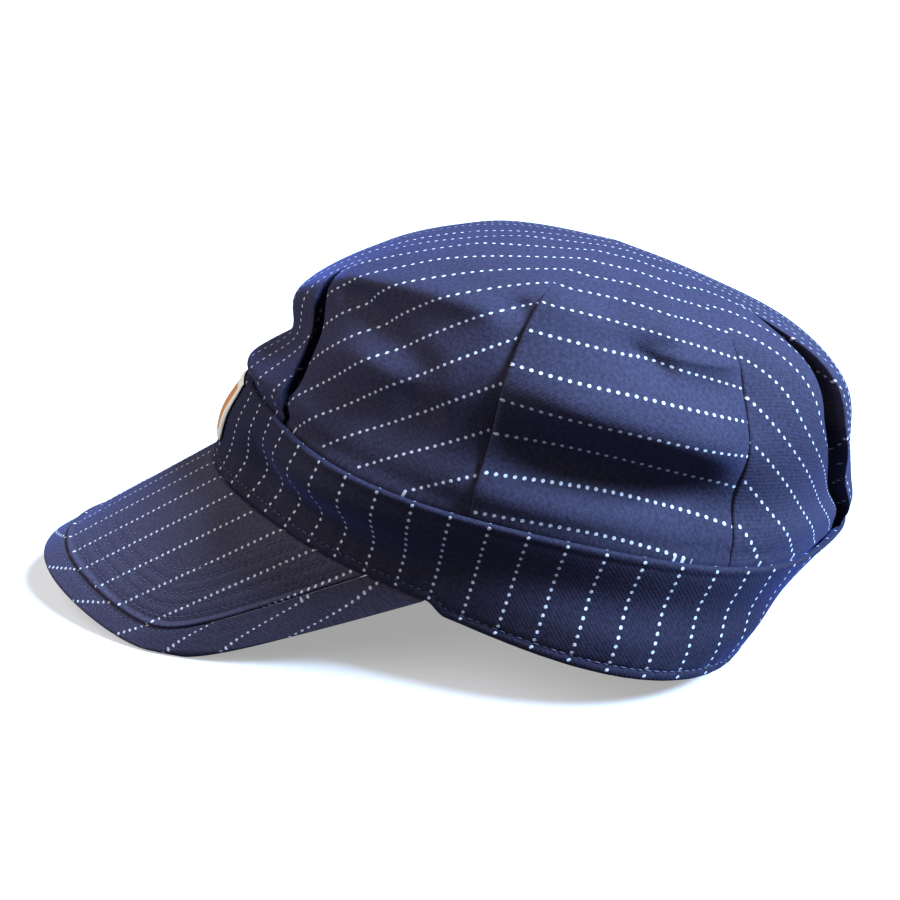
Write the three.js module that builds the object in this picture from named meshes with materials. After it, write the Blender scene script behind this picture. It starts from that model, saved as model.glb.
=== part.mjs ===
// Work cap: a pleated crown on a straight band, with a stiff bordered peak.
// The cap lies on a flat surface, on the two sides of its peak and the back of its band.
// Row frame: X to the wearer's left, Y to the back of the head, Z up, millimetres.
// Origin: on the resting surface, under the middle of the cap's bounding box.
import * as THREE from 'three';
import { NURBSCurve } from 'three/addons/curves/NURBSCurve.js';

// The cap is drawn in its own frame, whose origin is the middle of the band's seam plane
// and whose Z is square to that plane. REST_TURN about X raises its front to how it lies.
const REST_TURN = THREE.MathUtils.degToRad(-14.68);
const REST_FLATTENING = 0.9;
const PIECE_GAP = 0.3;

// Ovals of the head band: the seam where the peak joins, and the rim where the crown joins.
// waves are the shares of the cosine waves that turn the ellipse into a head's outline.
const SEAM_OVAL = { halfLength: 97, halfWidth: 84.9, centreY: 0, waves: { 3: 0.09, 5: -0.012, 6: 0.018 } };
const RIM_OVAL = {
  halfLength: 104.8, halfWidth: 86.3, centreY: 8.7, waves: { 3: -0.007, 4: 0.005, 5: -0.002, 6: 0.019 },
};

// Band: a folded strip with a rolled top rim that stands proud of the crown.
const BAND_HEIGHT = 31.5;
const BAND_WALL = 2;
const BAND_COLUMNS = { aboveHalfPeak: 16, behind: 25 };
const BAND_OUTER_HEIGHTS = [3, 7.5, 12, 17, 22, 27, 30.5];
const RIM_ROLL_STEPS = 4;
const FREE_EDGE_DROP = { atPeakCorner: 3, atBack: 1.2, rampArc: 7 };

// Soft dents of the band. side is 1 on the wearer's left, -1 on the right; angle is in degrees
// round from the front; out is positive where the cloth stands out.
const BAND_DENTS = [
  { side: 1, angle: 47, height: 21, halfAngle: 17, halfHeight: 7, out: 2.2 },
  { side: 1, angle: 44, height: 10, halfAngle: 16, halfHeight: 6, out: -2.4 },
  { side: 1, angle: 128, height: 9, halfAngle: 18, halfHeight: 7, out: 1.2 },
  { side: -1, angle: 60, height: 12, halfAngle: 20, halfHeight: 8, out: -1.6 },
  { side: -1, angle: 118, height: 19, halfAngle: 24, halfHeight: 8, out: 1.4 },
];

// Crown: one cloth that folds down from the top and is drawn in by eight tucks.
const CROWN_WALL = 1.8;
const CROWN_NECK = 5;
const CROWN_FOOT_RISE = 0.5;
const CROWN_TOP_LIFT = 1;
const CROWN_LEVELS = 18;
const CROWN_APEX_Y = 14;
const TUCK_RAMP = 2.4;
const TUCK_STEP_SHARES = { above: 0.45, below: 0.55, reachBelow: 0.6 };
const TUCK_FADE = { beforeApex: 0.12, pastApex: 0.03 };
const COLUMNS_PER_PANEL = 10;

// Shares of the way from foot to shoulder, and from shoulder to the middle, where a meridian's
// control points lie.
const WALL_SHARES = { low: 0.22, high: 0.58 };
const TOP_SHARES = [0.3, 0.62, 0.86, 1];

// Crown meridians of the left half, mirrored on the right. arc is the way along the rim from
// the front; x, y and z give the shoulder; low and high say how far the wall stands out there.
const CROWN_MERIDIANS = {
  front: { arc: 0, x: 0, y: -94, z: 60, low: 7, high: -17 },
  tuck1: { arc: 50.5, x: 35, y: -75, z: 74, low: 4.5, high: -8.5 },
  quarter: { x: 56.5, y: -43.5, z: 84, low: -1.5, high: 2.5 },
  tuck2: { arc: 125, x: 72, y: -14, z: 87, low: 0.5, high: 3.5 },
  side: { x: 74.5, y: 17, z: 85.5, low: -2.5, high: 4.5 },
  tuck3: { arc: 199, x: 60, y: 45, z: 84.5, low: 0.5, high: 3.5 },
  rear: { x: 46.5, y: 77.5, z: 83, low: -1.5, high: 3.5 },
  tuck4: { arc: 271, x: 18.5, y: 87, z: 81.5, low: 3, high: -5.5 },
  back: { x: 0, y: 107, z: 72, low: 3.5, high: -1 },
};

// Tucks: topLayer is 1 where the layer towards the back lies on top, -1 where the front one
// does; step is the height of the fold, reach how far it eases out, apex where it ends (0 at
// the band, 1 at the crown's middle).
const TUCKS = [
  { meridian: 'tuck1', topLayer: -1, step: 4, reach: 9, apex: 0.6 },
  { meridian: 'tuck2', topLayer: 1, step: 2.2, reach: 10, apex: 0.5 },
  { meridian: 'tuck3', topLayer: -1, step: 1.8, reach: 8, apex: 0.48 },
  { meridian: 'tuck4', topLayer: 1, step: 5, reach: 12, apex: 0.62 },
];

// Height of the crown's top along its middle, and how far it drops to the sides.
const TOP_LINE = [
  { y: -100, z: 50 }, { y: -88, z: 64.5 }, { y: -78, z: 71 }, { y: -62, z: 83 }, { y: -47, z: 90.7 },
  { y: -31, z: 98 }, { y: -10, z: 99.6 }, { y: 15, z: 99.9 }, { y: 43, z: 96.4 }, { y: 65, z: 91.2 },
  { y: 82, z: 88.9 }, { y: 95, z: 82.9 }, { y: 110, z: 70 },
];
const TOP_SIDE_DROP = { atX: 70, drop: 13 };

// Dents of the crown. arc and level place each one; inward is its depth.
const CROWN_DENTS = [
  { side: 1, arc: 150, level: 0.6, halfArc: 12, halfLevel: 0.05, inward: 2 },
  { side: 1, arc: 180, level: 0.5, halfArc: 12, halfLevel: 0.05, inward: 2 },
  { side: 1, arc: 100, level: 0.45, halfArc: 16, halfLevel: 0.06, inward: 1 },
  { side: 1, arc: 85, level: 0.24, halfArc: 9, halfLevel: 0.05, inward: 2.6 },
  { side: 1, arc: 118.5, level: 0.39, halfArc: 5, halfLevel: 0.04, inward: 3 },
  { side: 1, arc: 166, level: 0.36, halfArc: 8, halfLevel: 0.04, inward: 2 },
  { side: 1, arc: 186, level: 0.31, halfArc: 9, halfLevel: 0.04, inward: 1.8 },
  { side: -1, arc: 165, level: 0.55, halfArc: 16, halfLevel: 0.06, inward: 2.5 },
  { side: -1, arc: 92, level: 0.48, halfArc: 14, halfLevel: 0.06, inward: 1.5 },
];

// Peak: straight rulings that run forwards and down from the seam. length is its reach at the
// front, corner the arc where it runs out, rise how fast it lengthens there.
const PEAK_SLOPE = THREE.MathUtils.degToRad(41.5);
const PEAK_TOE_IN = 0.12 / 77.6;
const PEAK_WALL = 3;
const PEAK_EDGE = { length: 80, corner: 119.4, rise: 6.4, roundness: 3.3 };
const BORDER_LINE = { length: 68.4, corner: 100.2, rise: 8, roundness: 3 };
const PEAK_COLUMNS = { panel: 40, corner: 8 };
const PANEL_ROWS = 5;
const BORDER_ROWS = 2;
const CORNER_BLUNT = 0.6;
const BORDER_EDGE_ROUND = 0.7;

// Label: a bare patch on the front of the band.
const LABEL = { width: 33, height: 22, belowRim: 1.6, wall: 0.8, columns: 12, rows: 4 };

// Steps for measuring a surface's direction: an angle in radians and an arc in millimetres.
const ANGLE_STEP = 0.01;
const ARC_STEP = 0.5;

// Smallest level or length for which a curve has a direction and an outline a length.
const NEAR_ZERO = 0.001;

const NAVY_CLOTH = { color: 0x262b52, roughness: 0.92, metalness: 0 };
const LABEL_CLOTH = { color: 0xd9a15c, roughness: 0.85, metalness: 0 };

// Half of a head oval, from the front to the back on the wearer's left.
class HalfOval extends THREE.Curve {
  constructor(oval) {
    super();
    this.oval = oval;
    this.arcLengthDivisions = 720;
    this.halfGirth = this.getLength();
  }

  pointAtAngle(angle) {
    const { halfLength, halfWidth, centreY, waves } = this.oval;
    let share = 1;
    for (const [order, size] of Object.entries(waves)) {
      share += size * Math.cos(order * angle);
    }
    const x = halfWidth * share * Math.sin(angle);
    const y = centreY - halfLength * share * Math.cos(angle);
    return new THREE.Vector3(x, y, 0);
  }

  getPoint(t) {
    return this.pointAtAngle(t * Math.PI);
  }

  // Angle from the front at a signed arc, positive on the wearer's left.
  angleAtArc(arc) {
    const share = Math.min(Math.abs(arc) / this.halfGirth, 1);
    return Math.sign(arc) * this.getUtoTmapping(share) * Math.PI;
  }
}

const seamOval = new HalfOval(SEAM_OVAL);
const rimOval = new HalfOval(RIM_OVAL);

function smoothStep(value, low, high) {
  return THREE.MathUtils.smoothstep(value, low, high);
}

function bell(distance, halfWidth) {
  return Math.exp(-((distance / halfWidth) ** 2));
}

// Drop of the band's free lower edge below the seam plane, at an angle from the front.
function freeEdgeHeight(angle) {
  const arc = arcOfSeamAngle(angle);
  const begun = smoothStep(arc, PEAK_EDGE.corner, PEAK_EDGE.corner + FREE_EDGE_DROP.rampArc);
  const toBack = (arc - PEAK_EDGE.corner) / (seamOval.halfGirth - PEAK_EDGE.corner);
  const drop = THREE.MathUtils.lerp(FREE_EDGE_DROP.atPeakCorner, FREE_EDGE_DROP.atBack, toBack);
  return -begun * drop;
}

function arcOfSeamAngle(angle) {
  const lengths = seamOval.getLengths();
  const place = (Math.abs(angle) / Math.PI) * (lengths.length - 1);
  const index = Math.min(Math.floor(place), lengths.length - 2);
  return THREE.MathUtils.lerp(lengths[index], lengths[index + 1], place - index);
}

function bandDent(angle, height) {
  const degrees = THREE.MathUtils.radToDeg(angle);
  let out = 0;
  for (const dent of BAND_DENTS) {
    const across = bell(degrees * dent.side - dent.angle, dent.halfAngle);
    out += dent.out * across * bell(height - dent.height, dent.halfHeight);
  }
  return out;
}

// Point of the band's wall at an angle and height, inset from its outer face.
function bandPoint(angle, height, inset) {
  const share = height / BAND_HEIGHT;
  const middle = (at) => seamOval.pointAtAngle(at).lerp(rimOval.pointAtAngle(at), share);
  const point = middle(angle);
  const along = middle(angle + ANGLE_STEP).sub(middle(angle - ANGLE_STEP)).normalize();
  const outward = new THREE.Vector3(along.y, -along.x, 0);
  point.addScaledVector(outward, bandDent(angle, height) - inset);
  point.z = height;
  return point;
}

// Shoulder row of the crown at an arc: a parabola across each panel, creased at its tucks.
function shoulderRow(arc) {
  const rows = CROWN_MERIDIANS;
  const mirrored = (row, at) => ({ ...row, arc: at, x: -row.x });
  const panels = [
    [mirrored(rows.tuck1, -rows.tuck1.arc), rows.front, rows.tuck1],
    [rows.tuck1, rows.quarter, rows.tuck2],
    [rows.tuck2, rows.side, rows.tuck3],
    [rows.tuck3, rows.rear, rows.tuck4],
    [rows.tuck4, rows.back, mirrored(rows.tuck4, 2 * rimOval.halfGirth - rows.tuck4.arc)],
  ];
  const [from, middle, to] = panels.find((panel) => arc <= panel[2].arc);
  const t = (arc - from.arc) / (to.arc - from.arc);
  const blend = (key) =>
    from[key] * (1 - t) * (1 - 2 * t) + middle[key] * 4 * t * (1 - t) + to[key] * t * (2 * t - 1);
  return { x: blend('x'), y: blend('y'), z: blend('z'), low: blend('low'), high: blend('high') };
}

function crownTopHeight(x, y) {
  const next = Math.max(1, TOP_LINE.findIndex((row) => row.y >= y));
  const from = TOP_LINE[next - 1];
  const to = TOP_LINE[next];
  const onLine = THREE.MathUtils.mapLinear(y, from.y, to.y, from.z, to.z);
  return onLine - TOP_SIDE_DROP.drop * (x / TOP_SIDE_DROP.atX) ** 2;
}

// Curve of the crown's outer face over the left half, from the band's rim to the middle.
function crownMeridian(arc) {
  const shoulder = shoulderRow(arc);
  const corner = new THREE.Vector3(shoulder.x, shoulder.y, shoulder.z);
  const angle = rimOval.angleAtArc(arc);
  const foot = bandPoint(angle, BAND_HEIGHT, BAND_WALL + PIECE_GAP);
  foot.z += CROWN_FOOT_RISE;
  const fromFoot = new THREE.Vector3(foot.x, foot.y - RIM_OVAL.centreY, 0).normalize();
  const fromApex = new THREE.Vector3(corner.x, corner.y - CROWN_APEX_Y, 0).normalize();
  const between = fromFoot.clone().add(fromApex).multiplyScalar(0.5);
  const apex = new THREE.Vector3(0, CROWN_APEX_Y, 0);
  const controls = [
    foot,
    foot.clone().lerp(corner, WALL_SHARES.low).addScaledVector(fromFoot, shoulder.low),
    foot.clone().lerp(corner, WALL_SHARES.high).addScaledVector(between, shoulder.high),
    corner,
  ];
  for (const share of TOP_SHARES) {
    const point = corner.clone().lerp(apex, share);
    point.z = crownTopHeight(point.x, point.y) + CROWN_TOP_LIFT;
    controls.push(point);
  }
  const weighted = controls.map((point) => new THREE.Vector4(point.x, point.y, point.z, 1));
  const curve = new NURBSCurve(3, [0, 0, 0, 0, 1, 2, 3, 4, 5, 5, 5, 5], weighted);
  return { curve, sideways: new THREE.Vector3(-fromApex.y, fromApex.x, 0), outward: fromApex };
}

// How far tucks and dents move the crown's face out, on one side of the cap.
function crownRelief(arc, level, side) {
  let relief = 0;
  for (const tuck of TUCKS) {
    const along = (arc - CROWN_MERIDIANS[tuck.meridian].arc) * tuck.topLayer;
    const folded = 1 - smoothStep(level, tuck.apex - TUCK_FADE.beforeApex, tuck.apex + TUCK_FADE.pastApex);
    const begun = smoothStep(level, 0, TUCK_FADE.beforeApex);
    const upper = TUCK_STEP_SHARES.above * Math.exp(-along / tuck.reach);
    const lower = -TUCK_STEP_SHARES.below * Math.exp(along / (TUCK_STEP_SHARES.reachBelow * tuck.reach));
    relief += tuck.step * folded * begun * (along >= 0 ? upper : lower);
  }
  for (const dent of CROWN_DENTS) {
    if (dent.side === side) {
      relief -= dent.inward * bell(arc - dent.arc, dent.halfArc) * bell(level - dent.level, dent.halfLevel);
    }
  }
  return relief;
}

// One column of the crown's wall: over the outside from the top down to the neck that sits
// inside the band, then up the inside to the top again.
function crownColumn(signedArc) {
  const side = signedArc < 0 ? -1 : 1;
  const arc = Math.abs(signedArc);
  const { curve, sideways, outward } = crownMeridian(arc);
  const outer = [];
  const inner = [];
  for (let row = CROWN_LEVELS; row >= 0; row -= 1) {
    const level = row / CROWN_LEVELS;
    const point = curve.getPoint(level);
    const normal = new THREE.Vector3(0, 0, 1);
    if (row < CROWN_LEVELS) {
      normal.crossVectors(sideways, curve.getTangent(Math.max(level, NEAR_ZERO))).normalize();
    }
    point.addScaledVector(outward, crownRelief(arc, level, side));
    outer.push(point);
    inner.push(point.clone().addScaledVector(normal, -CROWN_WALL));
  }
  const angle = rimOval.angleAtArc(arc);
  const neckInset = BAND_WALL + PIECE_GAP;
  const neckHeight = BAND_HEIGHT - CROWN_NECK;
  outer.push(bandPoint(side * angle, neckHeight, neckInset));
  inner.push(bandPoint(side * angle, neckHeight, neckInset + CROWN_WALL));
  if (side < 0) {
    for (const point of [...outer.slice(0, -1), ...inner.slice(0, -1)]) {
      point.x *= -1;
    }
  }
  return [...outer, ...inner.reverse()];
}

// Arcs of the crown's columns on one side, with a close pair where each tuck steps.
function crownArcs() {
  const edges = [0, ...TUCKS.map((tuck) => CROWN_MERIDIANS[tuck.meridian].arc), rimOval.halfGirth];
  const arcs = [];
  for (let panel = 1; panel < edges.length; panel += 1) {
    const from = edges[panel - 1] + (panel > 1 ? TUCK_RAMP / 2 : 0);
    const to = edges[panel] - (panel < edges.length - 1 ? TUCK_RAMP / 2 : 0);
    const halfPanel = panel === 1 || panel === edges.length - 1;
    const count = halfPanel ? COLUMNS_PER_PANEL / 2 : COLUMNS_PER_PANEL;
    for (let column = 0; column <= count; column += 1) {
      arcs.push(THREE.MathUtils.lerp(from, to, column / count));
    }
  }
  return arcs;
}

// Point of the peak at a length along the ruling of an arc, and at a depth under its upper face.
function peakPoint(arc, length, depth) {
  const onSeam = (at) => seamOval.pointAtAngle(seamOval.angleAtArc(at));
  const ruling = (at) => {
    const toeIn = -PEAK_TOE_IN * onSeam(at).x;
    return new THREE.Vector3(toeIn, -Math.cos(PEAK_SLOPE), -Math.sin(PEAK_SLOPE));
  };
  const surface = (at) => onSeam(at).addScaledVector(ruling(at), length);
  const along = surface(arc + ARC_STEP).sub(surface(arc - ARC_STEP));
  const normal = along.cross(ruling(arc)).normalize();
  if (normal.z < 0) {
    normal.negate();
  }
  return surface(arc).addScaledVector(normal, -depth);
}

// Length of the rulings up to an outline that runs out at the peak's corner.
function outlineLength(outline, arc, inset) {
  const toCorner = Math.max(outline.corner - inset - Math.abs(arc), NEAR_ZERO);
  const power = -outline.roundness;
  const length = (outline.length - inset) ** power + (outline.rise * toCorner) ** power;
  return length ** (1 / power);
}

// Arcs of the panel's columns, closer together towards its corners.
function panelArcs() {
  const corner = BORDER_LINE.corner - PIECE_GAP - CORNER_BLUNT;
  const arcs = [];
  for (let column = 0; column <= PEAK_COLUMNS.panel; column += 1) {
    const place = (2 * column) / PEAK_COLUMNS.panel - 1;
    arcs.push(corner * Math.sin((place * Math.PI) / 2));
  }
  return arcs;
}

// Arcs of the border's columns: those of the panel, and more out to the peak's corners.
function borderArcs() {
  const corner = PEAK_EDGE.corner - CORNER_BLUNT;
  const left = [];
  for (let column = 0; column <= PEAK_COLUMNS.corner; column += 1) {
    left.push(THREE.MathUtils.lerp(BORDER_LINE.corner, corner, column / PEAK_COLUMNS.corner));
  }
  const right = [...left].reverse().map((arc) => -arc);
  return [...right, ...panelArcs(), ...left];
}

// Closed section of the peak's wall between two lengths of one ruling.
function peakSection(arc, from, to, rows, edgeRound) {
  const upper = [];
  const lower = [];
  for (let row = 0; row <= rows; row += 1) {
    const length = THREE.MathUtils.lerp(from, to - edgeRound, row / rows);
    upper.push(peakPoint(arc, length, 0));
    lower.push(peakPoint(arc, length, PEAK_WALL));
  }
  const section = [...upper];
  if (edgeRound > 0) {
    section.push(peakPoint(arc, to, PEAK_WALL / 2));
  }
  return [...section, ...lower.reverse()];
}

// Closed mesh from equal columns of points. Each column is a closed loop, or a chain whose
// ends are shared poles; the row of columns closes on itself or is capped at both ends.
function meshFromColumns(columns, { poles = false, ring = true } = {}) {
  const positions = [];
  const faces = [];
  const count = columns.length;
  const body = poles ? columns.map((column) => column.slice(1, -1)) : columns;
  const rows = body[0].length;
  body.flat().forEach((point) => positions.push(point));
  const at = (column, row) => (column % count) * rows + (row % rows);
  const lastColumn = ring ? count : count - 1;
  const lastRow = poles ? rows - 1 : rows;
  for (let column = 0; column < lastColumn; column += 1) {
    for (let row = 0; row < lastRow; row += 1) {
      const a = at(column, row);
      const b = at(column + 1, row);
      const c = at(column + 1, row + 1);
      const d = at(column, row + 1);
      faces.push([a, c, b], [a, d, c]);
    }
  }
  if (poles) {
    const first = positions.push(columns[0][0]) - 1;
    const last = positions.push(columns[0].at(-1)) - 1;
    for (let column = 0; column < count; column += 1) {
      faces.push([first, at(column, 0), at(column + 1, 0)]);
      faces.push([last, at(column + 1, rows - 1), at(column, rows - 1)]);
    }
  }
  if (!ring) {
    for (let row = 0; row < rows / 2 - 1; row += 1) {
      const opposite = rows - 1 - row;
      faces.push([at(0, row), at(0, opposite), at(0, row + 1)]);
      faces.push([at(0, row + 1), at(0, opposite), at(0, opposite - 1)]);
      faces.push([at(count - 1, row), at(count - 1, row + 1), at(count - 1, opposite)]);
      faces.push([at(count - 1, row + 1), at(count - 1, opposite - 1), at(count - 1, opposite)]);
    }
  }
  return { positions, faces: faces.filter((face) => new Set(face).size === 3) };
}

function crownShape() {
  const left = crownArcs();
  const right = left.slice(1, -1).reverse().map((arc) => -arc);
  return meshFromColumns([...left, ...right].map(crownColumn), { poles: true });
}

// Angles of the band's columns round the cap, with one at each corner of the peak and one
// where the free edge has dropped.
function bandAngles() {
  const corner = PEAK_EDGE.corner;
  const dropped = corner + FREE_EDGE_DROP.rampArc;
  const arcs = [];
  for (let column = 0; column <= BAND_COLUMNS.aboveHalfPeak; column += 1) {
    arcs.push((corner * column) / BAND_COLUMNS.aboveHalfPeak);
  }
  for (let column = 0; column <= BAND_COLUMNS.behind; column += 1) {
    arcs.push(THREE.MathUtils.lerp(dropped, seamOval.halfGirth, column / BAND_COLUMNS.behind));
  }
  const left = arcs.map((arc) => seamOval.angleAtArc(arc));
  const right = left.slice(1, -1).reverse().map((angle) => -angle);
  return [...left, ...right];
}

function bandShape() {
  const columns = [];
  for (const angle of bandAngles()) {
    const foot = freeEdgeHeight(angle);
    const loop = [bandPoint(angle, foot, 0)];
    BAND_OUTER_HEIGHTS.forEach((height) => loop.push(bandPoint(angle, height, 0)));
    const radius = BAND_WALL / 2;
    for (let step = 1; step < RIM_ROLL_STEPS; step += 1) {
      const roll = (Math.PI * step) / RIM_ROLL_STEPS;
      const height = BAND_HEIGHT - radius + radius * Math.sin(roll);
      loop.push(bandPoint(angle, height, radius - radius * Math.cos(roll)));
    }
    [...BAND_OUTER_HEIGHTS].reverse().forEach((height) => loop.push(bandPoint(angle, height, BAND_WALL)));
    loop.push(bandPoint(angle, foot, BAND_WALL));
    columns.push(loop.reverse());
  }
  return meshFromColumns(columns);
}

function peakPanelShape() {
  const columns = panelArcs().map((arc) => {
    const to = Math.max(outlineLength(BORDER_LINE, arc, PIECE_GAP), 2 * PIECE_GAP);
    return peakSection(arc, PIECE_GAP, to, PANEL_ROWS, 0);
  });
  return meshFromColumns(columns, { ring: false });
}

function peakBorderShape() {
  const columns = borderArcs().map((arc) => {
    const beyond = Math.abs(arc) >= BORDER_LINE.corner;
    const from = beyond ? PIECE_GAP : Math.max(outlineLength(BORDER_LINE, arc, 0), PIECE_GAP);
    return peakSection(arc, from, outlineLength(PEAK_EDGE, arc, 0), BORDER_ROWS, BORDER_EDGE_ROUND);
  });
  return meshFromColumns(columns, { ring: false });
}

function labelShape() {
  const columns = [];
  const top = BAND_HEIGHT - LABEL.belowRim;
  for (let column = 0; column <= LABEL.columns; column += 1) {
    const arc = LABEL.width * (column / LABEL.columns - 0.5);
    const angle = rimOval.angleAtArc(arc);
    const back = [];
    const face = [];
    for (let row = 0; row <= LABEL.rows; row += 1) {
      const height = top - LABEL.height * (row / LABEL.rows);
      face.push(bandPoint(angle, height, -PIECE_GAP - LABEL.wall));
      back.push(bandPoint(angle, height, -PIECE_GAP));
    }
    columns.push([...face, ...back.reverse()]);
  }
  return meshFromColumns(columns, { ring: false });
}

// Turns a point from the cap's frame to how the cap lies.
function pitched(point) {
  return point.clone().applyAxisAngle(new THREE.Vector3(1, 0, 0), REST_TURN);
}

const SHAPES = {
  crown: { shape: crownShape(), finish: NAVY_CLOTH },
  band: { shape: bandShape(), finish: NAVY_CLOTH },
  peak_panel: { shape: peakPanelShape(), finish: NAVY_CLOTH },
  peak_border: { shape: peakBorderShape(), finish: NAVY_CLOTH },
  label: { shape: labelShape(), finish: LABEL_CLOTH },
};

const bounds = new THREE.Box3();
for (const { shape } of Object.values(SHAPES)) {
  shape.positions = shape.positions.map(pitched);
  shape.positions.forEach((point) => bounds.expandByPoint(point));
}

// Where the cap rests, its cloth is pressed flat against the surface.
const floor = bounds.min.z + REST_FLATTENING;
const middleY = (bounds.min.y + bounds.max.y) / 2;

function solidMesh(name, { positions, faces }, finish) {
  const geometry = new THREE.BufferGeometry();
  const values = [];
  for (const point of positions) {
    values.push(point.x, point.y - middleY, Math.max(point.z - floor, 0));
  }
  geometry.setAttribute('position', new THREE.Float32BufferAttribute(values, 3));
  geometry.setIndex(faces.flat());
  geometry.computeVertexNormals();
  const mesh = new THREE.Mesh(geometry, new THREE.MeshStandardMaterial(finish));
  mesh.name = name;
  return mesh;
}

const cap = new THREE.Group();
for (const [name, { shape, finish }] of Object.entries(SHAPES)) {
  cap.add(solidMesh(name, shape, finish));
}

export default cap;
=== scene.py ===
"""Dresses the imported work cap: pleated crown, folded band, quilted peak with its border, and label.

Sizes are millimetres in the cap's own frame, whose origin is the middle of the band's seam
plane: X to the wearer's left, Y to the back of the head, Z square to the seam plane. CapPose
turns them to the row's frame, in metres, as the cap lies.
"""

import logging
import math
from dataclasses import dataclass
from enum import Enum

import bmesh
import bpy
import numpy as np
from bpy.types import Material, Node, NodeSocket, NodeTree, Object
from mathutils import Matrix, Vector


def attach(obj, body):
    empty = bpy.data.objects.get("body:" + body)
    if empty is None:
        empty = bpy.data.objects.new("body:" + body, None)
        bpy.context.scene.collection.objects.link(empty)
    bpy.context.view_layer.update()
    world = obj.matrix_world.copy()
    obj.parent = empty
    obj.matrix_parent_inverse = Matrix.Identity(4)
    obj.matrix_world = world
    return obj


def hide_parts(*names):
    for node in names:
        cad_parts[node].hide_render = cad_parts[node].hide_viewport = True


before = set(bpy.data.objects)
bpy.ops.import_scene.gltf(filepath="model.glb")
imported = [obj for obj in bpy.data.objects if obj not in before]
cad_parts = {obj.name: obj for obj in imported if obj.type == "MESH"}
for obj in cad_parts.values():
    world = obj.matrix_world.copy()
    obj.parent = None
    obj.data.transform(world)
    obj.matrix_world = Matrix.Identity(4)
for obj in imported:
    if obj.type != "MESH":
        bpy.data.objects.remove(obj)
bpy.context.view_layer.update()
METRES = 0.001  # in a millimetre
SAME_PLACE = 1e-7  # metres apart, at most, where two vertices are one
STRIPE_SPACING = 10.4
DOT_SPACING = 2.42  # along a stripe
LEVELS_RUN = 130.0  # from the band to the middle of the top, along the cloth
PEAK_CORNER = 119.4  # arc of the seam, from the front, at which the peak ends
FLAT_MAP = "cloth"  # UV map of a piece's flat cloth, in millimetres
MATHS = "ShaderNodeMath"
NOISE = "ShaderNodeTexNoise"

log = logging.getLogger("work_cap")


def linear(colour: str) -> tuple[float, float, float, float]:
    """Turns an sRGB hex colour into a linear one.

    Args:
        colour: Six hex digits after a hash.

    Returns:
        Red, green, blue and alpha, linear.
    """
    shares = [int(colour[at : at + 2], 16) / 255 for at in (1, 3, 5)]
    parts = [s / 12.92 if s <= 0.04045 else ((s + 0.055) / 1.055) ** 2.4 for s in shares]
    return (*parts, 1.0)


def smooth(value: np.ndarray, low: float, high: float) -> np.ndarray:
    """Smooth step from 0 at low to 1 at high."""
    share = np.clip((np.asarray(value, float) - low) / (high - low), 0, 1)
    return share * share * (3 - 2 * share)


def bell(distance: np.ndarray, half_width: float) -> np.ndarray:
    """Bell curve that is 1 at no distance."""
    return np.exp(-((np.asarray(distance, float) / half_width) ** 2))


def bells(distance: np.ndarray, rows: tuple[tuple[float, float, float], ...]) -> np.ndarray:
    """Sum of bell curves, each row a height, a place and a half width."""
    return sum(height * bell(distance - place, half) for height, place, half in rows)


def fold_line(distance: np.ndarray, half_width: float) -> np.ndarray:
    """Section of a crease: 1 at its line, where it is nearly sharp, and easing out beside it."""
    return np.exp(0.3 - 1.5 * np.sqrt((np.asarray(distance, float) / half_width) ** 2 + 0.04))


def unit(vectors: np.ndarray) -> np.ndarray:
    """Vectors of length 1 along the last axis."""
    return vectors / np.maximum(np.linalg.norm(vectors, axis=-1, keepdims=True), 1e-12)


@dataclass(frozen=True)
class CapPose:
    """How the cap lies: turned about X until it rests on its peak and the back of its band."""

    turn: float = math.radians(14.68)
    middle_y: float = -25.921
    floor: float = -23.292

    def to_row(self, points: np.ndarray) -> np.ndarray:
        """Takes points of the cap's frame to the row's.

        Args:
            points: Millimetres in the cap's frame, last axis x, y, z.

        Returns:
            Metres in the row's frame, pressed flat where the cap rests.
        """
        turned = self.turn_only(points)
        turned[..., 1] -= self.middle_y
        turned[..., 2] = np.maximum(turned[..., 2] - self.floor, 0)
        return turned * METRES

    def turn_only(self, points: np.ndarray) -> np.ndarray:
        """Turns points or directions without moving them.

        Args:
            points: Last axis x, y, z, in the cap's frame.

        Returns:
            The same, in the row's axes.
        """
        cos, sin = math.cos(self.turn), math.sin(self.turn)
        x, y, z = points[..., 0], points[..., 1], points[..., 2]
        return np.stack([x, y * cos + z * sin, -y * sin + z * cos], -1)


POSE = CapPose()


@dataclass(frozen=True)
class Oval:
    """Head oval: an ellipse with cosine waves round it, and its lengths round from the front."""

    half_length: float
    half_width: float
    centre_y: float
    waves: tuple[tuple[int, float], ...]

    def point(self, angle: np.ndarray) -> np.ndarray:
        """Points at angles round from the front.

        Args:
            angle: Radians, positive on the wearer's left.

        Returns:
            x and y, millimetres.
        """
        share = 1 + sum(size * np.cos(order * angle) for order, size in self.waves)
        x = self.half_width * share * np.sin(angle)
        return np.stack([x, self.centre_y - self.half_length * share * np.cos(angle)], -1)

    def table(self) -> tuple[np.ndarray, np.ndarray]:
        """Angles from front to back, and the arc at each.

        Returns:
            Radians, and millimetres.
        """
        angles = np.linspace(0, math.pi, 1441)
        steps = np.linalg.norm(np.diff(self.point(angles), axis=0), axis=1)
        return angles, np.concatenate([[0], np.cumsum(steps)])

    def half_girth(self) -> float:
        """Length from the front to the back."""
        return float(self.table()[1][-1])

    def angle_at(self, arc: np.ndarray) -> np.ndarray:
        """Angles at signed arcs from the front."""
        angles, arcs = self.table()
        return np.sign(arc) * np.interp(np.abs(arc), arcs, angles)

    def arc_at(self, angle: np.ndarray) -> np.ndarray:
        """Signed arcs at angles from the front."""
        angles, arcs = self.table()
        return np.sign(angle) * np.interp(np.abs(angle), angles, arcs)


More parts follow.
